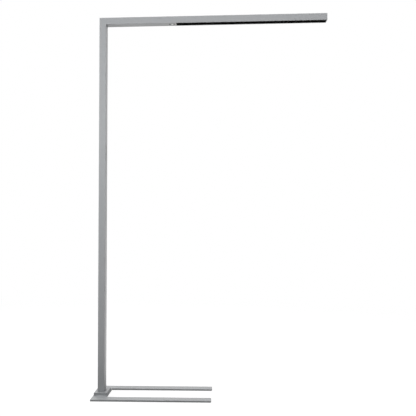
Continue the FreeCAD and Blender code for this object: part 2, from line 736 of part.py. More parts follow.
def cell_taper(middle, grow):
    """Tapered space of one louvre cell, wide below and narrow above, grown by a skin."""
    def ring(half_x, half_y, rise):
        points = [Vector(middle + sx * half_x, sy * half_y, level(rise))
                  for sx, sy in ((-1, -1), (1, -1), (1, 1), (-1, 1), (-1, -1))]
        return Part.makePolygon(points)
    throat = CELL_THROAT / 2 + grow
    mouth_x = (CELL_PITCH - CELL_WALL) / 2 + grow
    mouth_y = SLOT_HALF - SLOT_FIT - LOUVRE_SIDE + grow
    mouth = ring(mouth_x, mouth_y, LOUVRE_RECESS)
    return Part.makeLoft([mouth, ring(throat, throat, LOUVRE_TOP)], True, True)


def louvre():
    """Black moulding: a frame round the slot, and one tapered hood open at both ends per cell."""
    ends = (OPTIC_START - CELL_WALL / 2, SLOT_END - SLOT_FIT)
    half = SLOT_HALF - SLOT_FIT
    bounds = arm_bar(ends, half, (LOUVRE_RECESS, LOUVRE_TOP))
    room = arm_bar((ends[0] + LOUVRE_SIDE, ends[1] - LOUVRE_SIDE), half - LOUVRE_SIDE,
                   (LOUVRE_RECESS, LOUVRE_TOP))
    flange_bottom = TUBE_WALL + SEAT_GAP
    flange = arm_bar(ends, INNER_DEPTH - SLIP, (flange_bottom, flange_bottom + LOUVRE_FLANGE_THICK))
    frame = bounds.fuse(flange).cut(room)
    hoods = [cell_taper(middle, CELL_SKIN).common(bounds) for middle in cell_middles()]
    return fused([frame] + hoods).cut([cell_taper(middle, 0.0) for middle in cell_middles()])


def optic_end_trim():
    """Bright strip that closes the slot between the sensors and the louvre."""
    x = (SLOT_START + SLOT_FIT, SLOT_START + SLOT_FIT + TRIM_LENGTH)
    face = arm_bar(x, SLOT_HALF - SLOT_FIT, (0.0, TUBE_WALL + SEAT_GAP))
    foot = arm_bar(x, INNER_DEPTH - SLIP,
                   (TUBE_WALL + SEAT_GAP, TUBE_WALL + SEAT_GAP + LOUVRE_FLANGE_THICK))
    return fused([face, foot])


def uplight_board():
    return arm_bar(board_span(), UP_BOARD_HALF, (CARRIER_TOP, CARRIER_TOP + BOARD_THICK))


def uplight_leds():
    half = LED_SIDE / 2
    pitch = CELL_PITCH / UP_LEDS_PER_CELL
    rise = CARRIER_TOP + BOARD_THICK
    middles = [OPTIC_START + (n + 0.5) * pitch for n in range(CELLS * UP_LEDS_PER_CELL)]
    return [arm_bar((x - half, x + half), half, (rise, rise + LED_TALL)) for x in middles]


def uplight_diffuser():
    """Opal cover in the slot above, with a flange under the slot's lips."""
    x = (SLOT_START + SLOT_FIT, SLOT_END - SLOT_FIT)
    under_lip = TUBE_FACE - TUBE_WALL - SEAT_GAP
    face = arm_bar(x, SLOT_HALF - SLOT_FIT, (under_lip - DIFFUSER_FLANGE,
                                             TUBE_FACE - DIFFUSER_RECESS))
    flange = arm_bar(x, INNER_DEPTH - SLIP, (under_lip - DIFFUSER_FLANGE, under_lip))
    hollow_top = TUBE_FACE - DIFFUSER_RECESS - DIFFUSER_THICK
    hollow = arm_bar(x, SLOT_HALF - SLOT_FIT - DIFFUSER_THICK,
                     (under_lip - DIFFUSER_FLANGE, hollow_top))
    return fused([face, flange]).cut(hollow)


def arm_connector():
    """Plug on the near end of the carrier, where the loom arrives."""
    middle = CARRIER_BOTTOM + CARRIER_THICK / 2
    return arm_bar((CONNECTOR_START, CARRIER_START), CONNECTOR_HALF,
                   (middle - CONNECTOR_TALL / 2, middle + CONNECTOR_TALL / 2))


# ---- sensors ----
def sensor_span():
    return (SENSOR_START, SENSOR_START + SENSOR_LENGTH)


def sensor_housing():
    """Shallow box under the carrier, open above, with a hole for each lens."""
    floor = TUBE_WALL + SEAT_GAP
    x0, x1 = sensor_span()
    box = arm_bar((x0, x1), SENSOR_HALF, (floor, CARRIER_BOTTOM - SEAT_GAP))
    hollow = arm_bar((x0 + SENSOR_WALL, x1 - SENSOR_WALL), SENSOR_HALF - SENSOR_WALL,
                     (floor + SENSOR_WALL, CARRIER_BOTTOM))
    ledge = SENSOR_PCB_RISE - SEAT_GAP
    steps = [arm_bar((x, x + 2 * SENSOR_WALL), SENSOR_HALF - SENSOR_WALL,
                     (floor + SENSOR_WALL, ledge))
             for x in (x0 + SENSOR_WALL, x1 - 3 * SENSOR_WALL)]
    box = box.cut(hollow)
    box = fused([box] + steps)
    for x, radius in ((PIR_X, PIR_R), (LIGHT_X, LIGHT_R), (INFRARED_X, INFRARED_R)):
        box = box.cut(rod(radius + LENS_FIT, Vector(x, 0, level(0)),
                          Vector(x, 0, level(SENSOR_PCB_RISE))))
    return box


def sensor_pcb():
    x0, x1 = sensor_span()
    fit = SENSOR_WALL + SEAT_GAP
    return arm_bar((x0 + fit, x1 - fit), SENSOR_HALF - fit,
                   (SENSOR_PCB_RISE, SENSOR_PCB_RISE + PCB_THICK))


def presence_sensor_lens():
    """White lens: a shallow dome below the arm on a round stem through its wall."""
    sphere_r = (PIR_R ** 2 + PIR_DOME ** 2) / (2 * PIR_DOME)
    ball = Part.makeSphere(sphere_r, Vector(PIR_X, 0, level(sphere_r - PIR_DOME)))
    below = arm_bar((PIR_X - 2 * PIR_R, PIR_X + 2 * PIR_R), 2 * PIR_R, (-2 * PIR_DOME, 0.0))
    stem = rod(PIR_R, Vector(PIR_X, 0, level(0)), Vector(PIR_X, 0, level(LENS_TOP)))
    return fused([ball.common(below), stem])


def sensor_window(x, radius):
    return rod(radius, Vector(x, 0, level(LENS_RECESS)), Vector(x, 0, level(LENS_TOP)))


def pir_element():
    """Round can on the sensor board, above the white lens."""
    return rod(PIR_CAN_R, Vector(PIR_X, 0, level(LENS_TOP + SEAT_GAP)),
               Vector(PIR_X, 0, level(SENSOR_PCB_RISE)))


def build():
    """Every sub-part by name, each a list of separate solids."""
    bolt_length = BASE_THICK + BLOCK_THICK + SPIGOT_FLOOR - BOLT_TIP_INSET
    bolts, bolt_holes = screws_and_holes(BASE_BOLT, bolt_length, base_bolt_places(), UP)
    block_length = BASE_THICK + BLOCK_THICK - BOLT_TIP_INSET
    block_screws, block_holes = screws_and_holes(BLOCK_SCREW, block_length,
                                                 block_screw_places(), UP)
    foot_places = [Vector(-FACE_HALF, 0, TUBE_FOOT + rise) for rise in FOOT_SCREW_RISES]
    foot_length = TUBE_WALL + SLIP + SPIGOT_WALL - TIP_INSET
    foot_screws, foot_holes = screws_and_holes(FOOT_SCREW, foot_length, foot_places, RIGHT)
    side_places, top_places = corner_screw_places()
    corner_length = TUBE_WALL + BRACKET_THICK - TIP_INSET
    side_screws, side_holes = screws_and_holes(CORNER_SCREW, corner_length, side_places, RIGHT)
    top_screws, top_holes = screws_and_holes(CORNER_SCREW, corner_length, top_places, DOWN)
    cap_screws, cap_holes = screws_and_holes(END_SCREW, CAP_THICK + END_SCREW_GRIP,
                                             end_screw_places(), LEFT)
    strip_length = HOUSING_DEEP + BEZEL_FLANGE_THICK - TIP_INSET
    strip_screws, strip_holes = screws_and_holes(CONTROL_SCREW, strip_length,
                                                 control_screw_places(), RIGHT)
    nodes = {
        "base_plate": [base_plate(bolt_holes + block_holes)],
        "base_mat": base_mat(),
        "foot_block": [foot_block(bolt_holes + block_holes)],
        "base_bolts": bolts,
        "block_screws": block_screws,
        "post_gasket": [post_gasket()],
        "post_spigot": [post_spigot(bolt_holes + foot_holes)],
        "post_foot_screws": foot_screws,
        "post_tube": [post_tube(foot_holes + side_holes)],
        "mains_inlet": [mains_inlet()],
        "inlet_pins": inlet_pins(),
        "mains_wires": mains_wires(),
        "led_driver": [led_driver()],
        "driver_holders": driver_holders(),
        "wiring_loom": [wiring_loom()],
        "loom_clips": loom_clips(),
        "control_bezel": [control_bezel(strip_holes)],
        "control_housing": [control_housing(strip_holes)],
        "control_pcb": [control_pcb()],
        "key_switches": key_switches(),
        "control_screws": strip_screws,
        "corner_bracket": [corner_bracket(side_holes + top_holes)],
        "corner_screws": side_screws + top_screws,
        "arm_tube": [arm_tube(top_holes + cap_holes)],
        "arm_end_cap": [arm_end_cap(cap_holes)],
        "end_cap_screws": cap_screws,
        "led_carrier": [led_carrier()],
        "downlight_board": [downlight_board()],
        "downlight_leds": downlight_leds(),
        "louvre": [louvre()],
        "optic_end_trim": [optic_end_trim()],
        "uplight_board": [uplight_board()],
        "uplight_leds": uplight_leds(),
        "uplight_diffuser": [uplight_diffuser()],
        "arm_connector": [arm_connector()],
        "sensor_housing": [sensor_housing()],
        "sensor_pcb": [sensor_pcb()],
        "presence_sensor_lens": [presence_sensor_lens()],
        "light_sensor_window": [sensor_window(LIGHT_X, LIGHT_R)],
        "infrared_window": [sensor_window(INFRARED_X, INFRARED_R)],
        "pir_element": [pir_element()],
    }
    for name, rise in key_rises().items():
        nodes[name] = [key(rise)]
    return nodes


def write(nodes):
    os.makedirs("parts", exist_ok=True)
    for name, solids in nodes.items():
        shape = Part.makeCompound(solids)
        volume = sum(solid.Volume for solid in shape.Solids)
        print(f"{name}: {len(shape.Solids)} solids, {volume:.1f} mm3, valid {shape.isValid()}")
        shape.exportStep(f"parts/{name}.step")


write(build())
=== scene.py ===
"""Looks of an office floor lamp: silver-grey tubes, a black cell louvre, sensors and a key strip.

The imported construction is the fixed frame. Each operator finishes one piece or one group of like
pieces, and the panel lists them. Lengths are in metres, in the frame's own axes: +X along the arm,
+Y to the rear and +Z up.
"""
import math

import bmesh
import bpy
import numpy as np
from mathutils import Matrix, Vector


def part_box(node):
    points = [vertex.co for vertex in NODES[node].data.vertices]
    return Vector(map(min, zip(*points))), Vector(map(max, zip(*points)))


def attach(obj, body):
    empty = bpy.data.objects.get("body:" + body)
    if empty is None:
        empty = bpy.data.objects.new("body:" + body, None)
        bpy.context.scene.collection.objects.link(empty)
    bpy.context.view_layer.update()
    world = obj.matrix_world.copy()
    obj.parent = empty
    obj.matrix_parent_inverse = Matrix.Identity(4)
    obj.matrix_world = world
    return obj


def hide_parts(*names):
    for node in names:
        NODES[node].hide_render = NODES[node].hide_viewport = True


bl_info = {
    "name": "Office Floor Lamp",
    "version": (1, 0, 0),
    "blender": (4, 5, 0),
    "location": "3D View > Sidebar > Floor Lamp",
    "description": "Finishes the pieces of an office floor lamp and sets its stage",
    "category": "Object",
}

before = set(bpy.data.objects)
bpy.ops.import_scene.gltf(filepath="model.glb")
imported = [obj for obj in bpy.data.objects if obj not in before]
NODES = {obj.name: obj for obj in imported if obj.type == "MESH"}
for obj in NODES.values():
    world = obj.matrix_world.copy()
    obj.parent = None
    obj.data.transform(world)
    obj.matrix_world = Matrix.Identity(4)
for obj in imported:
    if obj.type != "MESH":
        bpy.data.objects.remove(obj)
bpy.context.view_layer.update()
BODY = "lamp"
MM = 0.001
PHOTO_PIXELS = 416
SENSOR_MM = 36.0
KEY_SYMBOLS = {"key_brighter": "up", "key_power": "power", "key_dimmer": "down"}
WELD = 1e-6
SHARP_ANGLE = math.radians(32)
FLAT_POWER = 400.0
SOURCE_SEGMENTS = 24
SOURCE_BASE_RINGS = 3
MIX_INPUTS, MIX_RESULT = (0, 6, 7), 2
WHITE = (1.0, 1.0, 1.0, 1.0)
DUST = (0.52, 0.51, 0.49)
DUST_ON_WHITE = (0.55, 0.54, 0.52)


# ---- settings that a user would change ----
class FloorLampFinish(bpy.types.PropertyGroup):
    """Colours and gloss of the lamp's surfaces."""
    paint: bpy.props.FloatVectorProperty(
        name="Lacquer", description="Silver-grey of tubes and base", subtype="COLOR", size=3,
        min=0.0, max=1.0, default=(0.402, 0.415, 0.430))
    paint_roughness: bpy.props.FloatProperty(
        name="Lacquer roughness", description="0 is polished, 1 is chalky", subtype="FACTOR",
        min=0.0, max=1.0, default=0.42)
    # Painted shade: the foot block is lacquered darker than the tubes, for the shade round the
    # block at the upright's foot.
    block_painted_shade: bpy.props.FloatProperty(
        name="Block shade", description="Tone of the foot block against the tubes",
        subtype="FACTOR", min=0.0, max=1.0, default=0.86)
    flake: bpy.props.FloatProperty(
        name="Flake size", description="Width of one metal flake in the lacquer",
        unit="LENGTH", min=0.00005, default=0.00035)
    strip: bpy.props.FloatVectorProperty(
        name="Key strip", description="Grey of the frame round the keys", subtype="COLOR", size=3,
        min=0.0, max=1.0, default=(0.31, 0.315, 0.32))
    keys: bpy.props.FloatVectorProperty(
        name="Keys", description="Grey of the push keys", subtype="COLOR", size=3,
        min=0.0, max=1.0, default=(0.35, 0.355, 0.36))
    louvre: bpy.props.FloatVectorProperty(
        name="Louvre", description="Black of the cell louvre", subtype="COLOR", size=3,
        min=0.0, max=1.0, default=(0.003, 0.003, 0.003))
    opal: bpy.props.FloatVectorProperty(
        name="Opal", description="White of the cover on top and of the sensor's lens",
        subtype="COLOR", size=3, min=0.0, max=1.0, default=(0.80, 0.81, 0.80))


class FloorLampShapes(bpy.types.PropertyGroup):
    """Sizes of the modelled pieces that the frame doesn't give."""
    cells: bpy.props.IntProperty(
        name="Louvre cells", description="Number of cells along the arm", min=1, default=20)
    cell_wall: bpy.props.FloatProperty(
        name="Cell wall", description="Width of the bar between two cells", unit="LENGTH",
        min=0.0005, default=0.0012)
    cell_throat: bpy.props.FloatProperty(
        name="Cell throat", description="Width of the hole round each light source",
        unit="LENGTH", min=0.004, default=0.009)
    lip: bpy.props.FloatProperty(
        name="Cell lip", description="Radius of the rounded lower edge of a cell",
        unit="LENGTH", min=0.0001, default=0.0004)
    lens_facet: bpy.props.FloatProperty(
        name="Lens facet", description="Width of one facet of the presence lens", unit="LENGTH",
        min=0.0003, default=0.0016)
    lens_groove: bpy.props.FloatProperty(
        name="Lens groove", description="Depth of the grooves between the facets",
        unit="LENGTH", min=0.0, default=0.00016)
    spine: bpy.props.FloatProperty(
        name="Spine", description="Width of the base under the upright", unit="LENGTH",
        min=0.01, default=0.071)
    prong: bpy.props.FloatProperty(
        name="Prong", description="Width of one prong of the base", unit="LENGTH", min=0.01,
        default=0.055)
    mat_rib: bpy.props.FloatProperty(
        name="Mat rib", description="Pitch of the ribs under the mat", unit="LENGTH", min=0.001,
        default=0.004)
    symbol: bpy.props.FloatProperty(
        name="Key symbol", description="Radius of the raised symbols on the keys",
        unit="LENGTH", min=0.001, default=0.0034)


class FloorLampStage(bpy.types.PropertyGroup):
    """Camera and lights."""
    place: bpy.props.FloatVectorProperty(
        name="Camera place", description="Where the camera stands", subtype="TRANSLATION",
        unit="LENGTH", size=3, default=(0.63673, -3.11722, 0.84893))
    yaw: bpy.props.FloatProperty(
        name="Yaw", description="Turn of the camera to the right", unit="ROTATION",
        default=-0.04976)
    pitch: bpy.props.FloatProperty(
        name="Pitch", description="Tilt of the camera upwards", unit="ROTATION",
        default=0.05563)
    roll: bpy.props.FloatProperty(
        name="Roll", description="Turn of the camera about its own axis", unit="ROTATION",
        default=-0.00379)
    focal: bpy.props.FloatProperty(
        name="Focal length", description="In pixels of the photographed frame",
        subtype="PIXEL", default=597.7)
    centre_x: bpy.props.FloatProperty(
        name="Centre X", description="Pixel column that the camera looks along",
        subtype="PIXEL", default=194.14)
    centre_y: bpy.props.FloatProperty(
        name="Centre Y", description="Pixel row that the camera looks along", subtype="PIXEL",
        default=196.23)
    front_power: bpy.props.FloatProperty(
        name="Front lamp", description="Power of the shaded lamp in front of the arm",
        unit="POWER", min=0.0, default=6.0)
    top_power: bpy.props.FloatProperty(
        name="Top lamp", description="Power of the wide lamp high overhead", unit="POWER", min=0.0,
        default=650.0)
    side_power: bpy.props.FloatProperty(
        name="Side lamp", description="Power of the low lamp beyond the prongs", unit="POWER",
        min=0.0, default=3.0)
    left_power: bpy.props.FloatProperty(
        name="Left lamp", description="Power of the lamp at the front left", unit="POWER",
        min=0.0, default=30.5)
    rear_power: bpy.props.FloatProperty(
        name="Rear lamp", description="Power of the lamp at the rear left", unit="POWER",
        min=0.0, default=18.0)
    ambient: bpy.props.FloatProperty(
        name="Ambient", description="Strength of the light from all round", min=0.0,
        default=0.05)
    floor_colour: bpy.props.FloatVectorProperty(
        name="Floor", description="Colour of the floor under the lift", subtype="COLOR", size=3,
        min=0.0, max=1.0, default=(0.3, 0.3, 0.3))
    floor_bounce: bpy.props.FloatVectorProperty(
        name="Floor bounce", description="Colour of the light that the floor sends back up",
        subtype="COLOR", size=3, min=0.0, max=1.0, default=(0.60, 0.59, 0.57))
    floor_shade: bpy.props.FloatProperty(
        name="Floor shade", description="Share of the bounce left on the floor by the foot",
        subtype="FACTOR", min=0.0, max=1.0, default=0.35)
    floor_light: bpy.props.FloatProperty(
        name="Floor light", description="Brightness of the unlifted floor by the lamp's foot",
        min=0.0, max=1.0, default=0.15)


# ---- surfaces worked out as arrays ----
def ring_stack(half_x, half_y, power, height, segments):
    """Points of a stack of rounded rectangles, as an array (rings, segments, 3).

    On each ring a point at angle t is (half_x * c, half_y * s) / (|c|^p + |s|^p)^(1/p), where
    c = cos t, s = sin t and p is the ring's power: 2 gives an ellipse, large p a rectangle.
    """
    half_x, half_y, power, height = (np.atleast_1d(np.asarray(a, float))[:, None]
                                     for a in (half_x, half_y, power, height))
    turn = np.arange(segments) * (2 * math.pi / segments)
    c, s = np.cos(turn)[None, :], np.sin(turn)[None, :]
    reach = (np.abs(c) ** power + np.abs(s) ** power) ** (-1 / power)
    flat = np.ones_like(c)
    return np.stack([half_x * c * reach, half_y * s * reach, height * flat], axis=-1)


def ring_quads(rings, segments):
    """Quads between neighbouring rings of a stack, closed round each ring."""
    row = np.arange(rings - 1)[:, None] * segments
    here = np.arange(segments)[None, :]
    after = (here + 1) % segments
    corners = (row + here, row + after, row + segments + after, row + segments + here)
    return np.stack(corners, axis=-1).reshape(-1, 4)


def copies(points, quads, offsets):
    """The same surface at several offsets, as one set of points and quads."""
    offsets = np.asarray(offsets, float).reshape(-1, 1, 3)
    many = (points.reshape(1, -1, 3) + offsets).reshape(-1, 3)
    step = points.reshape(-1, 3).shape[0]
    faces = quads[None, :, :] + np.arange(len(offsets))[:, None, None] * step
    return many, faces.reshape(-1, quads.shape[1])


def louvre_surface(low, high, shapes):
    """Points and quads of the louvre between two corners of its box.

    Each cell is a stack of rings: the square tile's edge below, a quarter-circle lip, the
    reflector wall, and the tile's edge above. The wall's half width at a share v of its height
    is throat + (mouth - throat) * (1 - v)^0.6, a parabola-like curve. Rings on the outline of
    the whole louvre are joined from below to above as its outer walls.
    """
    wall_steps, lip_steps, segments = 10, 4, 48
    curve_power, mouth_power, throat_power = 0.6, 14.0, 4.0
    side_wall = 1.2 * MM
    board_low, board_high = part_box("downlight_board")
    pitch = (board_high.x - board_low.x) / shapes.cells
    half = high.y
    tall = high.z - low.z
    mouth_x = (pitch - shapes.cell_wall) / 2
    mouth_y = half - side_wall
    throat = shapes.cell_throat / 2
    arc = np.linspace(0, math.pi / 2, lip_steps + 1)
    lip_out = shapes.lip * (1 - np.sin(arc))
    lip_rise = shapes.lip * (1 - np.cos(arc))
    share = np.linspace(0, 1, wall_steps + 1)[1:]
    narrowing = (1 - share) ** curve_power
    rise = np.concatenate([[0], lip_rise, shapes.lip + (tall - shapes.lip) * share, [tall]])
    half_x = np.concatenate([[pitch / 2], mouth_x + lip_out,
                             throat + (mouth_x - throat) * narrowing, [pitch / 2]])
    half_y = np.concatenate([[half], mouth_y + lip_out,
                             throat + (mouth_y - throat) * narrowing, [half]])
    power = np.concatenate([[FLAT_POWER], np.full(lip_steps + 1, mouth_power),
                            mouth_power + (throat_power - mouth_power) * share, [FLAT_POWER]])
    tile = ring_stack(half_x, half_y, power, rise, segments)
    turn = np.arange(segments) * (2 * math.pi / segments)
    reach = 1 / np.maximum(np.abs(np.cos(turn)), np.abs(np.sin(turn)))
    for ring in (0, -1):
        tile[ring, :, 0] = pitch / 2 * np.cos(turn) * reach
        tile[ring, :, 1] = half * np.sin(turn) * reach
    middles = board_low.x + pitch * (np.arange(shapes.cells) + 0.5)
    offsets = np.stack([middles, np.zeros_like(middles), np.full_like(middles, low.z)], axis=-1)
    points, quads = copies(tile, ring_quads(len(tile), segments), offsets)
    grid = points.reshape(shapes.cells, len(tile), segments, 3)
    edge = pitch / 2 - WELD
    for cell, outer_x, side_sign in ((0, low.x, -1), (-1, high.x, 1)):
        for ring in (0, -1):
            beyond = (grid[cell, ring, :, 0] - middles[cell]) * side_sign > edge
            grid[cell, ring, beyond, 0] = outer_x
    below = np.arange(shapes.cells)[:, None] * len(tile) * segments + np.arange(segments)[None]
    above = below + (len(tile) - 1) * segments
    after = np.roll(np.arange(segments), -1)
    spots = grid[:, 0]
    on_side = np.isclose(np.abs(spots[..., 1]), half)
    on_end = np.isclose(spots[..., 0], low.x) | np.isclose(spots[..., 0], high.x)
    outline = (on_side & on_side[:, after] & np.isclose(spots[..., 1], spots[:, after, 1]))
    outline |= on_end & on_end[:, after]
    walls = np.stack([below[outline], above[outline], above[:, after][outline],
                      below[:, after][outline]], axis=-1)
    return grid.reshape(-1, 3), np.concatenate([quads, walls])


def hex_groove(x, y, width):
    """Closeness to the border of hexagonal cells: 0 inside a cell, 1 on a border.

    The distance of a point to the border is width / 2 less its hexagon norm about the nearest
    cell centre, taken from two interleaved rectangular lattices.
    """
    step = np.array([1.0, math.sqrt(3)]) * width
    point = np.stack([x, y], axis=-1)
    first = np.mod(point, step) - step / 2
    second = np.mod(point - step / 2, step) - step / 2
    nearer = (first ** 2).sum(-1) < (second ** 2).sum(-1)
    local = np.abs(np.where(nearer[..., None], first, second))
    norm = np.maximum(local[..., 0], local[..., 0] / 2 + local[..., 1] * math.sqrt(3) / 2)
    flat_share, border_share = 0.72, 0.28
    border = np.clip((norm / (width / 2) - flat_share) / border_share, 0, 1)
    return border ** 2


def lens_surface(low, high, shapes):
    """Points and quads of the presence lens: a grooved spherical cap under a round stem.

    The cap's depth at radius r is sqrt(R^2 - r^2) - (R - dome), the height of a sphere of
    radius R, less the groove's depth where the hexagon pattern has a border.
    """
    segments, rings, dome = 96, 30, 3.0 * MM
    crowding, plain_rim = 0.8, 0.12
    radius = (high.x - low.x) / 2
    bow = (radius ** 2 + dome ** 2) / (2 * dome)
    out = np.concatenate([radius * np.linspace(0, 1, rings) ** crowding, [radius, 0.0]])
    cap = bow - dome - np.sqrt(np.maximum(bow ** 2 - out[:rings] ** 2, 0))
    height = np.concatenate([low.z + dome + cap, [high.z, high.z]])
    points = ring_stack(out, out, np.full(len(out), 2.0), height, segments)
    fade = np.clip((1 - out / radius) / plain_rim, 0, 1)[:, None]
    groove = hex_groove(points[..., 0], points[..., 1], shapes.lens_facet) * fade
    points[..., 2] += groove * shapes.lens_groove
    points[..., 0] += (low.x + high.x) / 2
    return points.reshape(-1, 3), ring_quads(len(out), segments)


def window_surface(low, high, face, rim):
    """Points and quads of a round dark window: a bowed face, a groove and a rolled rim.

    The face's height at radius r is low + bow * (r / R)^2. The groove is one step deeper, and
    the rim a half circle, flattened to half its width, that stands under the arm's face.
    """
    segments, bow, groove = 64, 0.12 * MM, 0.2 * MM
    face_share, groove_start, groove_end = 0.94, 0.96, 0.99
    radius = (high.x - low.x) / 2
    inner = radius - rim
    spread = np.linspace(0, 1, 8)
    turn = np.linspace(math.pi, 0, 9)
    out = np.concatenate([inner * face_share * spread,
                          [inner * groove_start, inner * groove_end],
                          radius + rim * np.cos(turn), [radius, radius, 0.0]])
    height = np.concatenate([low.z + bow * spread ** 2, [low.z + groove, low.z + groove],
                             face - rim / 2 * np.sin(turn), [face, high.z, high.z]])
    points = ring_stack(out, out, np.full(len(out), 2.0), height, segments)
    points[..., 0] += (low.x + high.x) / 2
    return points.reshape(-1, 3), ring_quads(len(out), segments)


def light_source_surface(side, tall, facing):
    """Points and quads of one light source: a rounded square package and a shallow dome.

    facing is 1 for a dome that points up and -1 for one that points down. The dome's half
    width and height follow cos a and sin a for a from 0 to 90 degrees.
    """
    base_share, dome_share = 0.36, 0.82
    wall_share, top_share = 0.85, 0.96
    base_power, dome_power = 8.0, 2.0
    half = side / 2
    base = tall * base_share
    arc = np.linspace(0, math.pi / 2, 6)
    out = np.concatenate([[0, half, half, half * top_share], half * dome_share * np.cos(arc)])
    height = np.concatenate([[0, 0, base * wall_share, base],
                             base + (tall - base) * np.sin(arc)])
    power = np.concatenate([np.full(SOURCE_BASE_RINGS + 1, base_power),
                            np.full(len(arc), dome_power)])
    points = ring_stack(out, out, power, height * facing, SOURCE_SEGMENTS)
    return points.reshape(-1, 3), ring_quads(len(out), SOURCE_SEGMENTS)


def raised_shape(outline, height, chamfer, sink):
    """Points and faces of a flat shape raised from a face, in the (y, z) plane.

    The outline runs counter-clockwise. The top is the outline moved inwards by the chamfer,
    along the mean of the normals of the two edges at each point.
    """
    before, after = np.roll(outline, 1, axis=0), np.roll(outline, -1, axis=0)
    along = after - before
    along /= np.linalg.norm(along, axis=1, keepdims=True)
    inwards = np.stack([-along[:, 1], along[:, 0]], axis=-1)
    count = len(outline)
    levels = [(outline, -sink), (outline, height - chamfer), (outline + inwards * chamfer, height)]
    points = np.concatenate([np.column_stack([np.full(count, x), flat]) for flat, x in levels])
    sides = ring_quads(len(levels), count).tolist()
    bottom = list(range(count))[::-1]
    top = list(range(2 * count, 3 * count))
    return points, sides + [bottom, top]


def triangle_outline(radius, corner, upwards):
    """Rounded triangle: an arc of 120 degrees about a centre near each of its three corners."""
    start = math.pi / 2 if upwards else -math.pi / 2
    points = []
    for turn in range(3):
        towards = start + turn * 2 * math.pi / 3
        arc = towards + np.linspace(-math.pi / 3, math.pi / 3, 7)
        centre = (radius - 2 * corner) * np.array([math.cos(towards), math.sin(towards)])
        points.append(centre + corner * np.stack([np.cos(arc), np.sin(arc)], axis=-1))
    return np.concatenate(points)


def open_ring_outline(radius, width, gap):
    """Ring with a gap at its top: an outer arc, a round end, an inner arc and a round end."""
    start, finish = math.pi / 2 + gap, math.pi / 2 + 2 * math.pi - gap
    sweep = np.linspace(start, finish, 49)
    outer = (radius + width / 2) * np.stack([np.cos(sweep), np.sin(sweep)], axis=-1)
    inner = (radius - width / 2) * np.stack([np.cos(sweep), np.sin(sweep)], axis=-1)[::-1]
    end = np.linspace(0, math.pi, 7)[1:-1]

    def cap(angle, first):
        centre = radius * np.array([math.cos(angle), math.sin(angle)])
        turn = angle + end + (0 if first else math.pi)
        return centre + width / 2 * np.stack([np.cos(turn), np.sin(turn)], axis=-1)
    return np.concatenate([outer, cap(finish, True), inner, cap(start, False)])


def bar_outline(length, width, middle):
    """Upright bar with half-round ends, centred at a height."""
    end = np.linspace(0, math.pi, 9)
    half = length / 2 - width / 2
    cap = width / 2 * np.stack([np.cos(end), np.sin(end)], axis=-1)
    return np.concatenate([cap + [0, middle + half], -cap + [0, middle - half]])


def ribbed_strip(x, y, z, pitch, depth):
    """Points and faces of a flat strip with ribs across its lower face.

    The lower edge's height over x repeats every pitch: flat on the floor for half of it, and
    raised by the depth for the rest, with slanted flanks. That profile is carried along y.
    """
    count = max(2, int(round((x[1] - x[0]) / pitch)))
    starts = x[0] + (x[1] - x[0]) * np.arange(count) / count
    step = (x[1] - x[0]) / count
    rib_turns = np.array([0, 0.5, 0.6, 0.9])
    across = (starts[:, None] + step * rib_turns[None]).ravel()
    lift = np.tile([0, 0, depth, depth], count)
    across = np.concatenate([across, [x[1], x[1], x[0]]])
    height = np.concatenate([z[0] + lift, [z[0], z[1], z[1]]])
    profile = np.stack([across, height], axis=-1)
    points = np.concatenate([np.column_stack([profile[:, 0], np.full(len(profile), place),
                                              profile[:, 1]]) for place in y])
    sides = ring_quads(2, len(profile)).tolist()
    ends = [list(range(len(profile)))[::-1], list(range(len(profile), 2 * len(profile)))]
    return points, sides + ends


def joined(parts):
    """Several surfaces, each as points and faces, as one."""
    starts = np.cumsum([0] + [len(points) for points, _ in parts])
    faces = [[corner + start for corner in face]
             for start, (_, sides) in zip(starts, parts) for face in sides]
    return np.concatenate([points for points, _ in parts]), faces


def make_piece(name, points, faces, materials, slot, replaced=(), body=BODY, face_material=None):
    """A new closed piece from points and faces, riding on a body and merged where points meet."""
    mesh = bpy.data.meshes.new(name)
    mesh.from_pydata(np.asarray(points).tolist(), [], [list(map(int, face)) for face in faces])
    for material in materials:
        mesh.materials.append(material)
    if face_material is not None:
        mesh.polygons.foreach_set("material_index", np.asarray(face_material, np.int32))
    shell = bmesh.new()
    shell.from_mesh(mesh)
    bmesh.ops.remove_doubles(shell, verts=shell.verts, dist=WELD)
    bmesh.ops.recalc_face_normals(shell, faces=shell.faces)
    shell.to_mesh(mesh)
    shell.free()
    mesh.polygons.foreach_set("use_smooth", np.ones(len(mesh.polygons), bool))
    mesh.set_sharp_from_angle(angle=SHARP_ANGLE)
    mesh.update()
    if mesh.validate():
        raise RuntimeError(f"{name} came out with broken faces")
    piece = bpy.data.objects.new(name, mesh)
    bpy.context.scene.collection.objects.link(piece)
    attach(piece, body)
    if replaced:
        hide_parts(*replaced)
    return piece


# ---- shader tools ----
def add(tree, kind, inputs=None, **settings):
    """A new node with its settings; each input is linked to a socket or set to a value."""
    made = tree.nodes.new(kind)
    for name, value in settings.items():
        setattr(made, name, value)
    for name, value in (inputs or {}).items():
        if isinstance(value, bpy.types.NodeSocket):
            tree.links.new(value, made.inputs[name])
        else:
            made.inputs[name].default_value = value
    return made


def new_group(name, inputs, outputs):
    """An empty shader group: inputs are (name, type, default) and outputs (name, type)."""
    group = bpy.data.node_groups.new(name, "ShaderNodeTree")
    for label, kind, default in inputs:
        socket = group.interface.new_socket(label, in_out="INPUT", socket_type=kind)
        socket.default_value = default
    for label, kind in outputs:
        group.interface.new_socket(label, in_out="OUTPUT", socket_type=kind)
    return group, group.nodes.new("NodeGroupInput").outputs, group.nodes.new("NodeGroupOutput")


def placed(tree, group, **values):
    """A group placed in a material with its own values, and its outputs."""
    made = tree.nodes.new("ShaderNodeGroup")
    made.node_tree = bpy.data.node_groups[group]
    for name, value in values.items():
        made.inputs[name.replace("_", " ").capitalize()].default_value = value
    return made.outputs


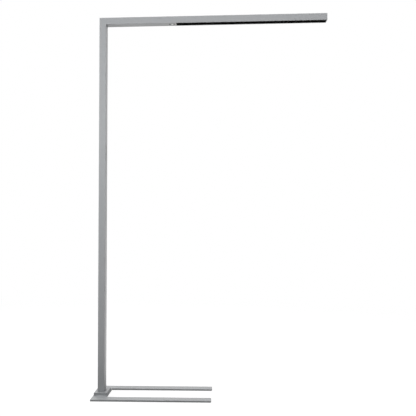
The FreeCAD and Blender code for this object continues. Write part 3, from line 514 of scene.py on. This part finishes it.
def maths(tree, operation, *values, clamp=False):
    """Result socket of one Math node."""
    made = tree.nodes.new("ShaderNodeMath")
    made.operation = operation
    made.use_clamp = clamp
    for socket, value in zip(made.inputs, values):
        if isinstance(value, bpy.types.NodeSocket):
            tree.links.new(value, socket)
        else:
            socket.default_value = value
    return made.outputs[0]


def mixed(tree, mask, low, high):
    """Colour between two colours by a mask."""
    made = tree.nodes.new("ShaderNodeMix")
    made.data_type = "RGBA"
    for place, value in zip(MIX_INPUTS, (mask, low, high)):
        socket = made.inputs[place]
        if isinstance(value, bpy.types.NodeSocket):
            tree.links.new(value, socket)
        else:
            socket.default_value = value if isinstance(value, float) else (*value[:3], 1.0)
    return made.outputs[MIX_RESULT]


def ranged(tree, value, low, high):
    """A value of 0 to 1 stretched between two numbers."""
    made = add(tree, "ShaderNodeMapRange", {"Value": value, "To Min": low, "To Max": high})
    return made.outputs[0]


def object_place(tree):
    return add(tree, "ShaderNodeTexCoord").outputs["Object"]


def shade(colour, factor):
    """A colour made darker or lighter by a factor."""
    return tuple(min(1.0, part * factor) for part in colour)


def lacquer_group():
    """Metal flakes, a slow drift of tone and the soft ripple of sprayed lacquer."""
    group, given, out = new_group(
        "sprayed_lacquer",
        [("Flake", "NodeSocketFloat", 0.0003), ("Ripple", "NodeSocketFloat", 0.0012)],
        [("Sparkle", "NodeSocketFloat"), ("Drift", "NodeSocketFloat"),
         ("Height", "NodeSocketFloat")])
    place = object_place(group)
    flakes = add(group, "ShaderNodeTexVoronoi",
                 {"Vector": place, "Scale": maths(group, "DIVIDE", 1.0, given["Flake"])})
    tone = add(group, "ShaderNodeSeparateColor", {"Color": flakes.outputs["Color"]})
    drift = add(group, "ShaderNodeTexNoise",
                {"Vector": place, "Scale": 5.0, "Detail": 3.0, "Roughness": 0.55})
    ripple = add(group, "ShaderNodeTexNoise",
                 {"Vector": place, "Scale": maths(group, "DIVIDE", 1.0, given["Ripple"]),
                  "Detail": 1.0})
    group.links.new(tone.outputs[0], out.inputs["Sparkle"])
    group.links.new(drift.outputs[0], out.inputs["Drift"])
    group.links.new(ripple.outputs[0], out.inputs["Height"])


def rub_group():
    """Where handling rubs an edge: a mask of convex edges, broken up by noise."""
    group, given, out = new_group(
        "rubbed_edge",
        [("Reach", "NodeSocketFloat", 0.0012), ("Amount", "NodeSocketFloat", 0.5)],
        [("Mask", "NodeSocketFloat")])
    bevel = add(group, "ShaderNodeBevel", {"Radius": given["Reach"]}, samples=4)
    normal = add(group, "ShaderNodeNewGeometry").outputs["Normal"]
    lean = add(group, "ShaderNodeVectorMath", operation="DOT_PRODUCT")
    group.links.new(bevel.outputs[0], lean.inputs[0])
    group.links.new(normal, lean.inputs[1])
    gain = 6.0
    away = maths(group, "SUBTRACT", 1.0, lean.outputs["Value"])
    turned = maths(group, "MULTIPLY", away, gain, clamp=True)
    patches = add(group, "ShaderNodeTexNoise",
                  {"Vector": object_place(group), "Scale": 60.0, "Detail": 4.0})
    worn = add(group, "ShaderNodeMapRange",
               {"Value": patches.outputs[0], "From Min": 0.4, "From Max": 0.62})
    mask = maths(group, "MULTIPLY", maths(group, "MULTIPLY", turned, worn.outputs[0]),
                 given["Amount"], clamp=True)
    group.links.new(mask, out.inputs["Mask"])


def dust_group():
    """Fine dust that settles on faces that point up, in soft patches."""
    group, given, out = new_group(
        "settled_dust", [("Amount", "NodeSocketFloat", 0.1)], [("Mask", "NodeSocketFloat")])
    normal = add(group, "ShaderNodeNewGeometry").outputs["Normal"]
    level = add(group, "ShaderNodeSeparateXYZ", {"Vector": normal}).outputs["Z"]
    upward = add(group, "ShaderNodeMapRange", {"Value": level, "From Min": 0.6, "From Max": 1.0})
    patches = add(group, "ShaderNodeTexNoise",
                  {"Vector": object_place(group), "Scale": 14.0, "Detail": 6.0})
    cover = maths(group, "MULTIPLY", upward.outputs[0], patches.outputs[0])
    group.links.new(maths(group, "MULTIPLY", cover, given["Amount"], clamp=True),
                    out.inputs["Mask"])


def grain_group():
    """Spark-eroded grain of a moulding: two sizes of noise added."""
    group, given, out = new_group(
        "moulded_grain", [("Grain", "NodeSocketFloat", 0.0004)],
        [("Tone", "NodeSocketFloat"), ("Height", "NodeSocketFloat")])
    place = object_place(group)
    scale = maths(group, "DIVIDE", 1.0, given["Grain"])
    fine = add(group, "ShaderNodeTexNoise", {"Vector": place, "Scale": scale, "Detail": 2.0})
    broad = add(group, "ShaderNodeTexNoise",
                {"Vector": place, "Scale": 25.0, "Detail": 3.0, "Roughness": 0.6})
    fine_share, broad_share = 0.7, 0.3
    both = maths(group, "ADD", maths(group, "MULTIPLY", fine.outputs[0], fine_share),
                 maths(group, "MULTIPLY", broad.outputs[0], broad_share))
    group.links.new(broad.outputs[0], out.inputs["Tone"])
    group.links.new(both, out.inputs["Height"])


def drawn_group():
    """Lines left by drawing or brushing metal: noise stretched along the row's X axis."""
    group, given, out = new_group(
        "drawn_lines", [("Line", "NodeSocketFloat", 0.0004)],
        [("Tone", "NodeSocketFloat"), ("Height", "NodeSocketFloat")])
    stretched = add(group, "ShaderNodeMapping",
                    {"Vector": object_place(group), "Scale": (0.02, 1.0, 1.0)})
    lines = add(group, "ShaderNodeTexNoise",
                {"Vector": stretched.outputs[0],
                 "Scale": maths(group, "DIVIDE", 1.0, given["Line"]), "Detail": 2.0})
    group.links.new(lines.outputs[0], out.inputs["Tone"])
    group.links.new(lines.outputs[0], out.inputs["Height"])


def new_material(name, **values):
    """A material with one Principled shader; plain values are set on its own sockets."""
    material = bpy.data.materials.new(name)
    material.use_nodes = True
    tree = material.node_tree
    shader = tree.nodes["Principled BSDF"]
    for label, value in values.items():
        shader.inputs[label.replace("_", " ")].default_value = value
    return material, tree, shader


def drive(tree, shader, colour=None, roughness=None, height=None, distance=0.0, strength=1.0):
    """Link a colour, a roughness and a bump's height to the shader."""
    if colour is not None:
        tree.links.new(colour, shader.inputs["Base Color"])
    if roughness is not None:
        tree.links.new(roughness, shader.inputs["Roughness"])
    if height is not None:
        bump = add(tree, "ShaderNodeBump",
                   {"Height": height, "Distance": distance, "Strength": strength})
        tree.links.new(bump.outputs[0], shader.inputs["Normal"])


# ---- the lamp's own finishes ----
def silver_lacquer(finish, name, depth):
    """Satin silver-grey lacquer with fine flakes, a little dust and rubbed edges. A depth under 1
    darkens all of it, as painted shade.
    """
    material, tree, shader = new_material(name, Coat_Roughness=0.22, Coat_Weight=0.35)
    lacquer = placed(tree, "sprayed_lacquer", flake=finish.flake, ripple=1.3 * MM)
    rub = placed(tree, "rubbed_edge", reach=1.0 * MM, amount=0.55)
    dust = placed(tree, "settled_dust", amount=0.16)
    # Painted shade: a depth under 1 darkens the whole lacquer, used for the foot block.
    colour = shade(finish.paint, depth)
    dark_flake, light_flake, drifted, rubbed = 0.90, 1.10, 1.12, 1.35
    smoother, rougher, dust_roughness, most_metallic, most_drift = 0.06, 0.08, 0.8, 0.16, 0.2
    tone = mixed(tree, lacquer["Sparkle"], shade(colour, dark_flake), shade(colour, light_flake))
    tone = mixed(tree, ranged(tree, lacquer["Drift"], 0.0, most_drift), tone,
                 shade(colour, drifted))
    tone = mixed(tree, rub["Mask"], tone, shade(colour, rubbed))
    tone = mixed(tree, dust["Mask"], tone, DUST)
    rough = ranged(tree, lacquer["Drift"], finish.paint_roughness - smoother,
                   finish.paint_roughness + rougher)
    rough = maths(tree, "ADD", rough, maths(tree, "MULTIPLY", dust["Mask"], dust_roughness),
                  clamp=True)
    tree.links.new(ranged(tree, lacquer["Sparkle"], 0.0, most_metallic),
                   shader.inputs["Metallic"])
    drive(tree, shader, tone, rough, lacquer["Height"], 0.02 * MM, 0.5)
    return material


def moulded(name, colour, roughness, grain=0.4 * MM, spread=0.12, depth=0.03 * MM, **values):
    """Moulded plastic or rubber with a fine grain and a slow drift of tone."""
    material, tree, shader = new_material(name, **values)
    grained = placed(tree, "moulded_grain", grain=grain)
    tone = mixed(tree, grained["Tone"], shade(colour, 1 - spread), shade(colour, 1 + spread))
    step, smoothest = 0.07, 0.02
    rough = ranged(tree, grained["Height"], max(roughness - step, smoothest), roughness + step)
    drive(tree, shader, tone, rough, grained["Height"], depth, 0.6)
    return material


def drawn_metal(name, colour, roughness, line=0.4 * MM):
    """Bare metal with the lines of its drawing or rolling."""
    material, tree, shader = new_material(name, Metallic=1.0)
    lines = placed(tree, "drawn_lines", line=line)
    rub = placed(tree, "rubbed_edge", reach=0.6 * MM, amount=0.6)
    dark_line, light_line, rubbed, smoother, rougher = 0.86, 1.08, 1.25, 0.08, 0.10
    tone = mixed(tree, lines["Tone"], shade(colour, dark_line), shade(colour, light_line))
    tone = mixed(tree, rub["Mask"], tone, shade(colour, rubbed))
    rough = ranged(tree, lines["Height"], roughness - smoother, roughness + rougher)
    drive(tree, shader, tone, rough, lines["Height"], 0.01 * MM, 0.4)
    return material


def board_finish(name, mask_colour, track_colour):
    """Circuit board: solder mask over raised tracks, drawn by the borders of square cells."""
    material, tree, shader = new_material(name, Specular_IOR_Level=0.6)
    place = object_place(tree)
    cells = add(tree, "ShaderNodeTexVoronoi", {"Vector": place, "Scale": 260.0},
                distance="CHEBYCHEV", feature="F2")
    track = add(tree, "ShaderNodeMapRange",
                {"Value": cells.outputs["Distance"], "From Min": 0.62, "From Max": 0.7})
    grained = placed(tree, "moulded_grain", grain=0.8 * MM)
    tone = mixed(tree, track.outputs[0], mask_colour, track_colour)
    most_stain, stain = 0.25, 0.8
    tone = mixed(tree, ranged(tree, grained["Tone"], 0.0, most_stain), tone,
                 shade(mask_colour, stain))
    mask_roughness, track_roughness = 0.38, 0.26
    rough = ranged(tree, track.outputs[0], mask_roughness, track_roughness)
    drive(tree, shader, tone, rough, track.outputs[0], 0.03 * MM, 0.5)
    return material


def opal_finish(finish):
    """Opal plastic: slightly translucent white with a very fine satin grain."""
    material, tree, shader = new_material(
        "opal_satin", Subsurface_Weight=0.2, Subsurface_Scale=0.002, IOR=1.49)
    grained = placed(tree, "moulded_grain", grain=0.25 * MM)
    dust = placed(tree, "settled_dust", amount=0.25)
    darker, lighter, smoothest, roughest = 0.97, 1.02, 0.30, 0.46
    tone = mixed(tree, grained["Tone"], shade(finish.opal, darker), shade(finish.opal, lighter))
    tone = mixed(tree, dust["Mask"], tone, DUST_ON_WHITE)
    rough = ranged(tree, grained["Height"], smoothest, roughest)
    drive(tree, shader, tone, rough, grained["Height"], 0.01 * MM, 0.4)
    return material


def dress(material, *names):
    """Give CAD nodes a finish through their own material slots."""
    for name in names:
        node = NODES[name]
        if not node.material_slots:
            node.data.materials.append(material)
        for slot in node.material_slots:
            slot.material = material


# ---- one operator for each piece or group of like pieces ----
class FLOORLAMP_OT_groups(bpy.types.Operator):
    """Make the shader groups that the finishes share"""
    bl_idname = "floor_lamp.groups"
    bl_label = "Shared Surface Effects"

    def execute(self, context):
        for make in (lacquer_group, rub_group, dust_group, grain_group, drawn_group):
            make()
        return {"FINISHED"}


class FLOORLAMP_OT_lacquer(bpy.types.Operator):
    """Lacquer the tubes, the end cap, the base plate, and the foot block darker as painted shade
    """
    bl_idname = "floor_lamp.lacquer"
    bl_label = "Lacquered Tubes and Base"

    def execute(self, context):
        finish = context.scene.floor_lamp_finish
        dress(silver_lacquer(finish, "silver_lacquer", 1.0), "post_tube", "arm_tube",
              "arm_end_cap", "base_plate")
        # The foot block takes a darker copy of the same lacquer: painted shade.
        dress(silver_lacquer(finish, "block_lacquer_painted_shade", finish.block_painted_shade), "foot_block")
        return {"FINISHED"}


class FLOORLAMP_OT_fasteners(bpy.types.Operator):
    """Finish the screws, bolts, bracket, spigot, light carrier and pins in bare metal"""
    bl_idname = "floor_lamp.fasteners"
    bl_label = "Bare Metal Parts"

    def execute(self, context):
        dress(drawn_metal("zinc_plated_steel", (0.50, 0.50, 0.51), 0.32),
              "base_bolts", "block_screws", "post_foot_screws", "corner_screws",
              "end_cap_screws", "control_screws", "post_spigot", "pir_element")
        dress(drawn_metal("mill_aluminium", (0.72, 0.72, 0.73), 0.36), "corner_bracket",
              "led_carrier")
        dress(drawn_metal("nickel_plate", (0.68, 0.65, 0.58), 0.22, 0.2 * MM), "inlet_pins")
        return {"FINISHED"}


class FLOORLAMP_OT_mat(bpy.types.Operator):
    """Lay ribbed rubber strips under the base and the gasket under the upright"""
    bl_idname = "floor_lamp.mat"
    bl_label = "Floor Mat and Gasket"

    def execute(self, context):
        shapes = context.scene.floor_lamp_shapes
        rubber = moulded("ribbed_rubber", (0.028, 0.028, 0.029), 0.78, 0.5 * MM)
        low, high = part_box("base_mat")
        plate_low, plate_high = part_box("base_plate")
        inset = low.x - plate_low.x
        spine_end = plate_low.x + shapes.spine - inset
        strip_gap, rib_depth = 1.0 * MM, 0.35 * MM
        prong_start = spine_end + strip_gap
        inner = plate_high.y - shapes.prong + inset
        spans = [((low.x, spine_end), (low.y, high.y)), ((prong_start, high.x), (low.y, -inner)),
                 ((prong_start, high.x), (inner, high.y))]
        strips = [ribbed_strip(x, y, (low.z, high.z), shapes.mat_rib, rib_depth)
                  for x, y in spans]
        make_piece("ribbed_mat", *joined(strips), [rubber], "floor_mat", ["base_mat"])
        dress(moulded("gasket_rubber", (0.03, 0.03, 0.03), 0.7, 0.4 * MM), "post_gasket")
        return {"FINISHED"}


class FLOORLAMP_OT_louvre(bpy.types.Operator):
    """Model the black louvre with rounded lips and curved reflector walls"""
    bl_idname = "floor_lamp.louvre"
    bl_label = "Cell Louvre"

    def execute(self, context):
        shapes = context.scene.floor_lamp_shapes
        low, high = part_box("louvre")
        cover_lap, clearance = 2.0 * MM, 0.05 * MM
        inner_high = high.copy()
        inner_high.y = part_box("uplight_diffuser")[1].y - cover_lap
        inner_high.z -= clearance
        black = moulded("louvre_black", context.scene.floor_lamp_finish.louvre, 0.24, 0.5 * MM,
                        0.25, 0.01 * MM, Specular_IOR_Level=0.02)
        points, faces = louvre_surface(low, inner_high, shapes)
        make_piece("cell_louvre", points, faces, [black], "louvre_black", ["louvre"])
        return {"FINISHED"}


class FLOORLAMP_OT_light_sources(bpy.types.Operator):
    """Model the light sources on both boards and finish the boards"""
    bl_idname = "floor_lamp.light_sources"
    bl_label = "Light Sources and Boards"

    def execute(self, context):
        ceramic = moulded("source_ceramic", (0.78, 0.78, 0.76), 0.4, 0.3 * MM, 0.05)
        phosphor = moulded("source_phosphor", (0.85, 0.62, 0.12), 0.3, 0.2 * MM, 0.08,
                           Subsurface_Weight=0.2, Subsurface_Scale=0.0008)
        cells = context.scene.floor_lamp_shapes.cells
        for name, node, count, facing in (("down_sources", "downlight_leds", cells, -1),
                                          ("up_sources", "uplight_leds", 2 * cells, 1)):
            low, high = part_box(node)
            side, tall = high.y - low.y, high.z - low.z
            points, quads = light_source_surface(side, tall, facing)
            middles = np.linspace(low.x + side / 2, high.x - side / 2, count)
            seat = high.z if facing < 0 else low.z
            offsets = [(middle, 0.0, seat) for middle in middles]
            many, faces = copies(points, quads, offsets)
            on_dome = np.arange(len(quads)) // SOURCE_SEGMENTS >= SOURCE_BASE_RINGS
            make_piece(name, many, faces, [ceramic, phosphor], "led_yellow", [node],
                       face_material=np.tile(on_dome.astype(int), count))
        dress(board_finish("white_board", (0.74, 0.74, 0.72), (0.66, 0.65, 0.62)),
              "downlight_board", "uplight_board")
        return {"FINISHED"}


class FLOORLAMP_OT_covers(bpy.types.Operator):
    """Finish the opal cover on top and the pale strip before the louvre"""
    bl_idname = "floor_lamp.covers"
    bl_label = "Opal Cover and End Trim"

    def execute(self, context):
        finish = context.scene.floor_lamp_finish
        dress(opal_finish(finish), "uplight_diffuser")
        dress(moulded("trim_pale_grey", (0.66, 0.67, 0.67), 0.45), "optic_end_trim")
        return {"FINISHED"}


class FLOORLAMP_OT_sensors(bpy.types.Operator):
    """Model the faceted presence lens and the two dark windows, and finish two boards"""
    bl_idname = "floor_lamp.sensors"
    bl_label = "Sensors"

    def execute(self, context):
        finish = context.scene.floor_lamp_finish
        low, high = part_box("presence_sensor_lens")
        # Painted light: the lens is lifted 14% over the opal, partly a whiter plastic and partly
        # the glow of light passing through it.
        lens_lift_and_glow = 1.14
        white = moulded("lens_white", shade(finish.opal, lens_lift_and_glow), 0.34, 0.2 * MM, 0.02,
                        0.005 * MM)
        points, faces = lens_surface(low, high, context.scene.floor_lamp_shapes)
        make_piece("presence_lens", points, faces, [white], "lens_white",
                   ["presence_sensor_lens"])
        dark = moulded("dark_filter", (0.012, 0.011, 0.014), 0.3, 0.6 * MM, 0.2, 0.002 * MM,
                       Specular_IOR_Level=0.03)
        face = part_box("arm_tube")[0].z
        for name, node, rim in (("light_window", "light_sensor_window", 1.9 * MM),
                                ("infrared_lens", "infrared_window", 0.8 * MM)):
            points, faces = window_surface(*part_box(node), face, rim)
            make_piece(name, points, faces, [dark], "sensor_dark", [node])
        dress(board_finish("green_board", (0.02, 0.09, 0.045), (0.03, 0.13, 0.06)),
              "sensor_pcb", "control_pcb")
        return {"FINISHED"}


class FLOORLAMP_OT_key_strip(bpy.types.Operator):
    """Finish the key strip and raise a symbol on each key"""
    bl_idname = "floor_lamp.key_strip"
    bl_label = "Key Strip"

    def execute(self, context):
        finish = context.scene.floor_lamp_finish
        size = context.scene.floor_lamp_shapes.symbol
        dress(moulded("strip_grey", finish.strip, 0.36), "control_bezel")
        dress(moulded("key_grey", finish.keys, 0.34, 0.3 * MM), *KEY_SYMBOLS)
        ink = moulded("symbol_dark", (0.05, 0.05, 0.055), 0.5, 0.2 * MM)
        line, corner, ring, bar_middle = size * 0.22, size * 0.16, size * 0.86, size * 0.62
        ring_gap = math.radians(38)
        rise, chamfer, sink = 0.12 * MM, 0.04 * MM, 0.03 * MM
        shapes = {
            "up": [triangle_outline(size, corner, True)],
            "down": [triangle_outline(size, corner, False)],
            "power": [open_ring_outline(ring, line, ring_gap),
                      bar_outline(size, line, bar_middle)],
        }
        for key, symbol in KEY_SYMBOLS.items():
            low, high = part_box(key)
            middle = [high.x, 0.0, (low.z + high.z) / 2]
            points, faces = joined([raised_shape(outline, rise, chamfer, sink)
                                    for outline in shapes[symbol]])
            make_piece(f"{key}_symbol", points + middle, faces, [ink], "key_grey", body=key)
        return {"FINISHED"}


class FLOORLAMP_OT_mains(bpy.types.Operator):
    """Finish the mains inlet, the other black mouldings and the wires"""
    bl_idname = "floor_lamp.mains"
    bl_label = "Mains Inlet"

    def execute(self, context):
        dress(moulded("black_moulding", (0.022, 0.022, 0.023), 0.5), "mains_inlet",
              "control_housing", "sensor_housing", "driver_holders", "loom_clips",
              "key_switches")
        dress(moulded("wire_sleeve", (0.035, 0.035, 0.037), 0.55, 0.8 * MM), "mains_wires",
              "wiring_loom")
        return {"FINISHED"}


class FLOORLAMP_OT_driver(bpy.types.Operator):
    """Finish the driver and the plug at the end of the loom"""
    bl_idname = "floor_lamp.driver"
    bl_label = "Driver and Connector"

    def execute(self, context):
        dress(moulded("white_case", (0.68, 0.68, 0.66), 0.5), "led_driver")
        dress(moulded("nylon_natural", (0.62, 0.60, 0.54), 0.45), "arm_connector")
        return {"FINISHED"}


class FLOORLAMP_OT_stage(bpy.types.Operator):
    """Set the floor, the background, the lamps and the camera"""
    bl_idname = "floor_lamp.stage"
    bl_label = "Stage"

    def execute(self, context):
        stage = context.scene.floor_lamp_stage
        context.scene.view_settings.view_transform = "Standard"
        make_floor(stage)
        make_background(stage)
        make_lamps(stage)
        make_camera(stage)
        return {"FINISHED"}


def seen_directly(tree):
    """1 for a ray from the camera, a mirror or glass, and 0 for a ray that carries light."""
    path = add(tree, "ShaderNodeLightPath").outputs
    either = maths(tree, "MAXIMUM", path["Is Camera Ray"], path["Is Glossy Ray"])
    return maths(tree, "MAXIMUM", either, path["Is Transmission Ray"])


def make_floor(stage):
    """Large pale floor that looks white, and keeps the lamp's shadow near its foot.

    The camera sees it take the lamp's shadow within near_start of the foot, and plain white
    past near_end. The light that it sends back is shaded within shade_start of a spot beside
    the foot and full past shade_end. A mirror sees it dark there and white farther out.
    """
    half, drop = 16.0, 0.2 * MM
    near_start, near_end = 1.2, 4.5
    spot_shift, shade_start, shade_end = (-0.25, 0.25, 0.0), 0.15, 0.9
    mesh = bpy.data.meshes.new("stage_floor")
    corners = [(-half, -half, 0), (half, -half, 0), (half, half, 0), (-half, half, 0)]
    mesh.from_pydata(corners, [], [(0, 1, 2, 3)])
    floor = bpy.data.objects.new("stage_floor", mesh)
    floor.location.z = -drop
    bpy.context.scene.collection.objects.link(floor)
    material = bpy.data.materials.new("stage_floor")
    material.use_nodes = True
    tree = material.node_tree
    tree.nodes.clear()
    away = add(tree, "ShaderNodeVectorMath", {"Vector": object_place(tree)}, operation="LENGTH")
    front = add(tree, "ShaderNodeMapping",
                {"Vector": object_place(tree), "Location": spot_shift})
    beside = add(tree, "ShaderNodeVectorMath", {"Vector": front.outputs[0]}, operation="LENGTH")
    near = add(tree, "ShaderNodeMapRange",
               {"Value": away.outputs["Value"], "From Min": near_start,
                "From Max": near_end, "To Min": 1.0, "To Max": 0.0}).outputs[0]
    path = add(tree, "ShaderNodeLightPath").outputs
    mirrored = maths(tree, "MAXIMUM", path["Is Glossy Ray"], path["Is Transmission Ray"])
    carried = maths(tree, "SUBTRACT", 1.0, maths(tree, "MAXIMUM", path["Is Camera Ray"], mirrored))
    far = add(tree, "ShaderNodeMapRange",
              {"Value": beside.outputs["Value"], "From Min": shade_start,
               "From Max": shade_end}).outputs[0]
    seen = mixed(tree, near, (0.0, 0.0, 0.0), stage.floor_colour)
    bounce = mixed(tree, far, shade(stage.floor_bounce, stage.floor_shade), stage.floor_bounce)
    plain = add(tree, "ShaderNodeBsdfDiffuse", {"Color": mixed(tree, carried, seen, bounce)})
    look = maths(tree, "SUBTRACT", 1.0, maths(tree, "MULTIPLY", near, stage.floor_light))
    lift = maths(tree, "ADD", maths(tree, "MULTIPLY", path["Is Camera Ray"], look),
                 maths(tree, "MULTIPLY", mirrored, far))
    glow = add(tree, "ShaderNodeEmission", {"Color": WHITE, "Strength": lift})
    both = add(tree, "ShaderNodeAddShader")
    tree.links.new(plain.outputs[0], both.inputs[0])
    tree.links.new(glow.outputs[0], both.inputs[1])
    add(tree, "ShaderNodeOutputMaterial", {"Surface": both.outputs[0]})
    mesh.materials.append(material)


def make_background(stage):
    """World that looks white and lights the lamp evenly at a lower strength."""
    world = bpy.data.worlds.new("stage_background")
    bpy.context.scene.world = world
    world.use_nodes = True
    tree = world.node_tree
    tree.nodes.clear()
    strength = ranged(tree, seen_directly(tree), stage.ambient, 1.0)
    sky = add(tree, "ShaderNodeBackground", {"Color": WHITE, "Strength": strength})
    add(tree, "ShaderNodeOutputWorld", {"Surface": sky.outputs[0]})


def make_lamp(name, place, aim, size, power, spread=180.0):
    """One area lamp, size wide and high, that points at a spot and isn't itself seen.

    spread is the widest angle, in degrees, that its light leaves at.
    """
    light = bpy.data.lights.new(name, "AREA")
    light.shape = "RECTANGLE"
    light.size, light.size_y = size
    light.energy = power
    light.spread = math.radians(spread)
    lamp = bpy.data.objects.new(name, light)
    lamp.location = place
    lamp.rotation_euler = (Vector(aim) - Vector(place)).to_track_quat("-Z", "Y").to_euler()
    lamp.visible_camera = False
    bpy.context.scene.collection.objects.link(lamp)


def make_lamps(stage):
    """Soft lamps: a shaded one before the arm, a wide one high above, and three to fill."""
    make_lamp("front_lamp", (0.9, -3.0, 1.9), (0.95, 0.0, 1.55), (2.2, 0.8),
              stage.front_power, 74.0)
    make_lamp("top_lamp", (0.5, 0.0, 12.0), (0.5, 0.0, 0.0), (7.0, 7.0),
              stage.top_power)
    make_lamp("side_lamp", (3.4, -0.3, 0.45), (0.0, 0.0, 0.45), (1.4, 1.4),
              stage.side_power)
    make_lamp("left_lamp", (-2.6, -1.6, 2.2), (0.2, 0.0, 2.0), (2.6, 2.6),
              stage.left_power, 100.0)
    make_lamp("rear_lamp", (-2.0, 2.8, 2.4), (0.2, 0.0, 1.0), (2.2, 2.2),
              stage.rear_power)


def make_camera(stage):
    """Camera of the photographed view: its axes follow from yaw, pitch and roll."""
    cos, sin = math.cos, math.sin
    ahead = Vector((sin(stage.yaw) * cos(stage.pitch), cos(stage.yaw) * cos(stage.pitch),
                    sin(stage.pitch)))
    level = Vector((cos(stage.yaw), -sin(stage.yaw), 0.0))
    upright = level.cross(ahead)
    right = cos(stage.roll) * level + sin(stage.roll) * upright
    above = cos(stage.roll) * upright - sin(stage.roll) * level
    data = bpy.data.cameras.new("camera")
    data.sensor_width = SENSOR_MM
    data.lens = stage.focal * SENSOR_MM / PHOTO_PIXELS
    data.shift_x = (PHOTO_PIXELS / 2 - stage.centre_x) / PHOTO_PIXELS
    data.shift_y = (stage.centre_y - PHOTO_PIXELS / 2) / PHOTO_PIXELS
    camera = bpy.data.objects.new("camera", data)
    turn = Matrix((right, above, -ahead)).transposed()
    camera.matrix_world = Matrix.Translation(Vector(stage.place)) @ turn.to_4x4()
    bpy.context.scene.collection.objects.link(camera)
    bpy.context.scene.camera = camera


# ---- panel, registration and run ----
OPERATORS = (
    FLOORLAMP_OT_groups, FLOORLAMP_OT_lacquer, FLOORLAMP_OT_fasteners, FLOORLAMP_OT_mat,
    FLOORLAMP_OT_louvre, FLOORLAMP_OT_light_sources, FLOORLAMP_OT_covers, FLOORLAMP_OT_sensors,
    FLOORLAMP_OT_key_strip, FLOORLAMP_OT_mains, FLOORLAMP_OT_driver, FLOORLAMP_OT_stage,
)
SETTINGS = {
    "floor_lamp_finish": FloorLampFinish,
    "floor_lamp_shapes": FloorLampShapes,
    "floor_lamp_stage": FloorLampStage,
}


class FLOORLAMP_PT_panel(bpy.types.Panel):
    """Lists the lamp's pieces and settings"""
    bl_idname = "FLOORLAMP_PT_panel"
    bl_label = "Office Floor Lamp"
    bl_space_type = "VIEW_3D"
    bl_region_type = "UI"
    bl_category = "Floor Lamp"

    def draw(self, context):
        for name, group in SETTINGS.items():
            box = self.layout.box()
            for setting in group.__annotations__:
                box.prop(getattr(context.scene, name), setting)
        for operator in OPERATORS:
            self.layout.operator(operator.bl_idname)


def register():
    for kind in (*SETTINGS.values(), *OPERATORS, FLOORLAMP_PT_panel):
        bpy.utils.register_class(kind)
    for name, group in SETTINGS.items():
        setattr(bpy.types.Scene, name, bpy.props.PointerProperty(type=group))


def unregister():
    for name in SETTINGS:
        delattr(bpy.types.Scene, name)
    for kind in reversed((*SETTINGS.values(), *OPERATORS, FLOORLAMP_PT_panel)):
        bpy.utils.unregister_class(kind)


def main():
    register()
    for operator in OPERATORS:
        category, name = operator.bl_idname.split(".")
        getattr(getattr(bpy.ops, category), name)()


if __name__ == "__main__":
    main()
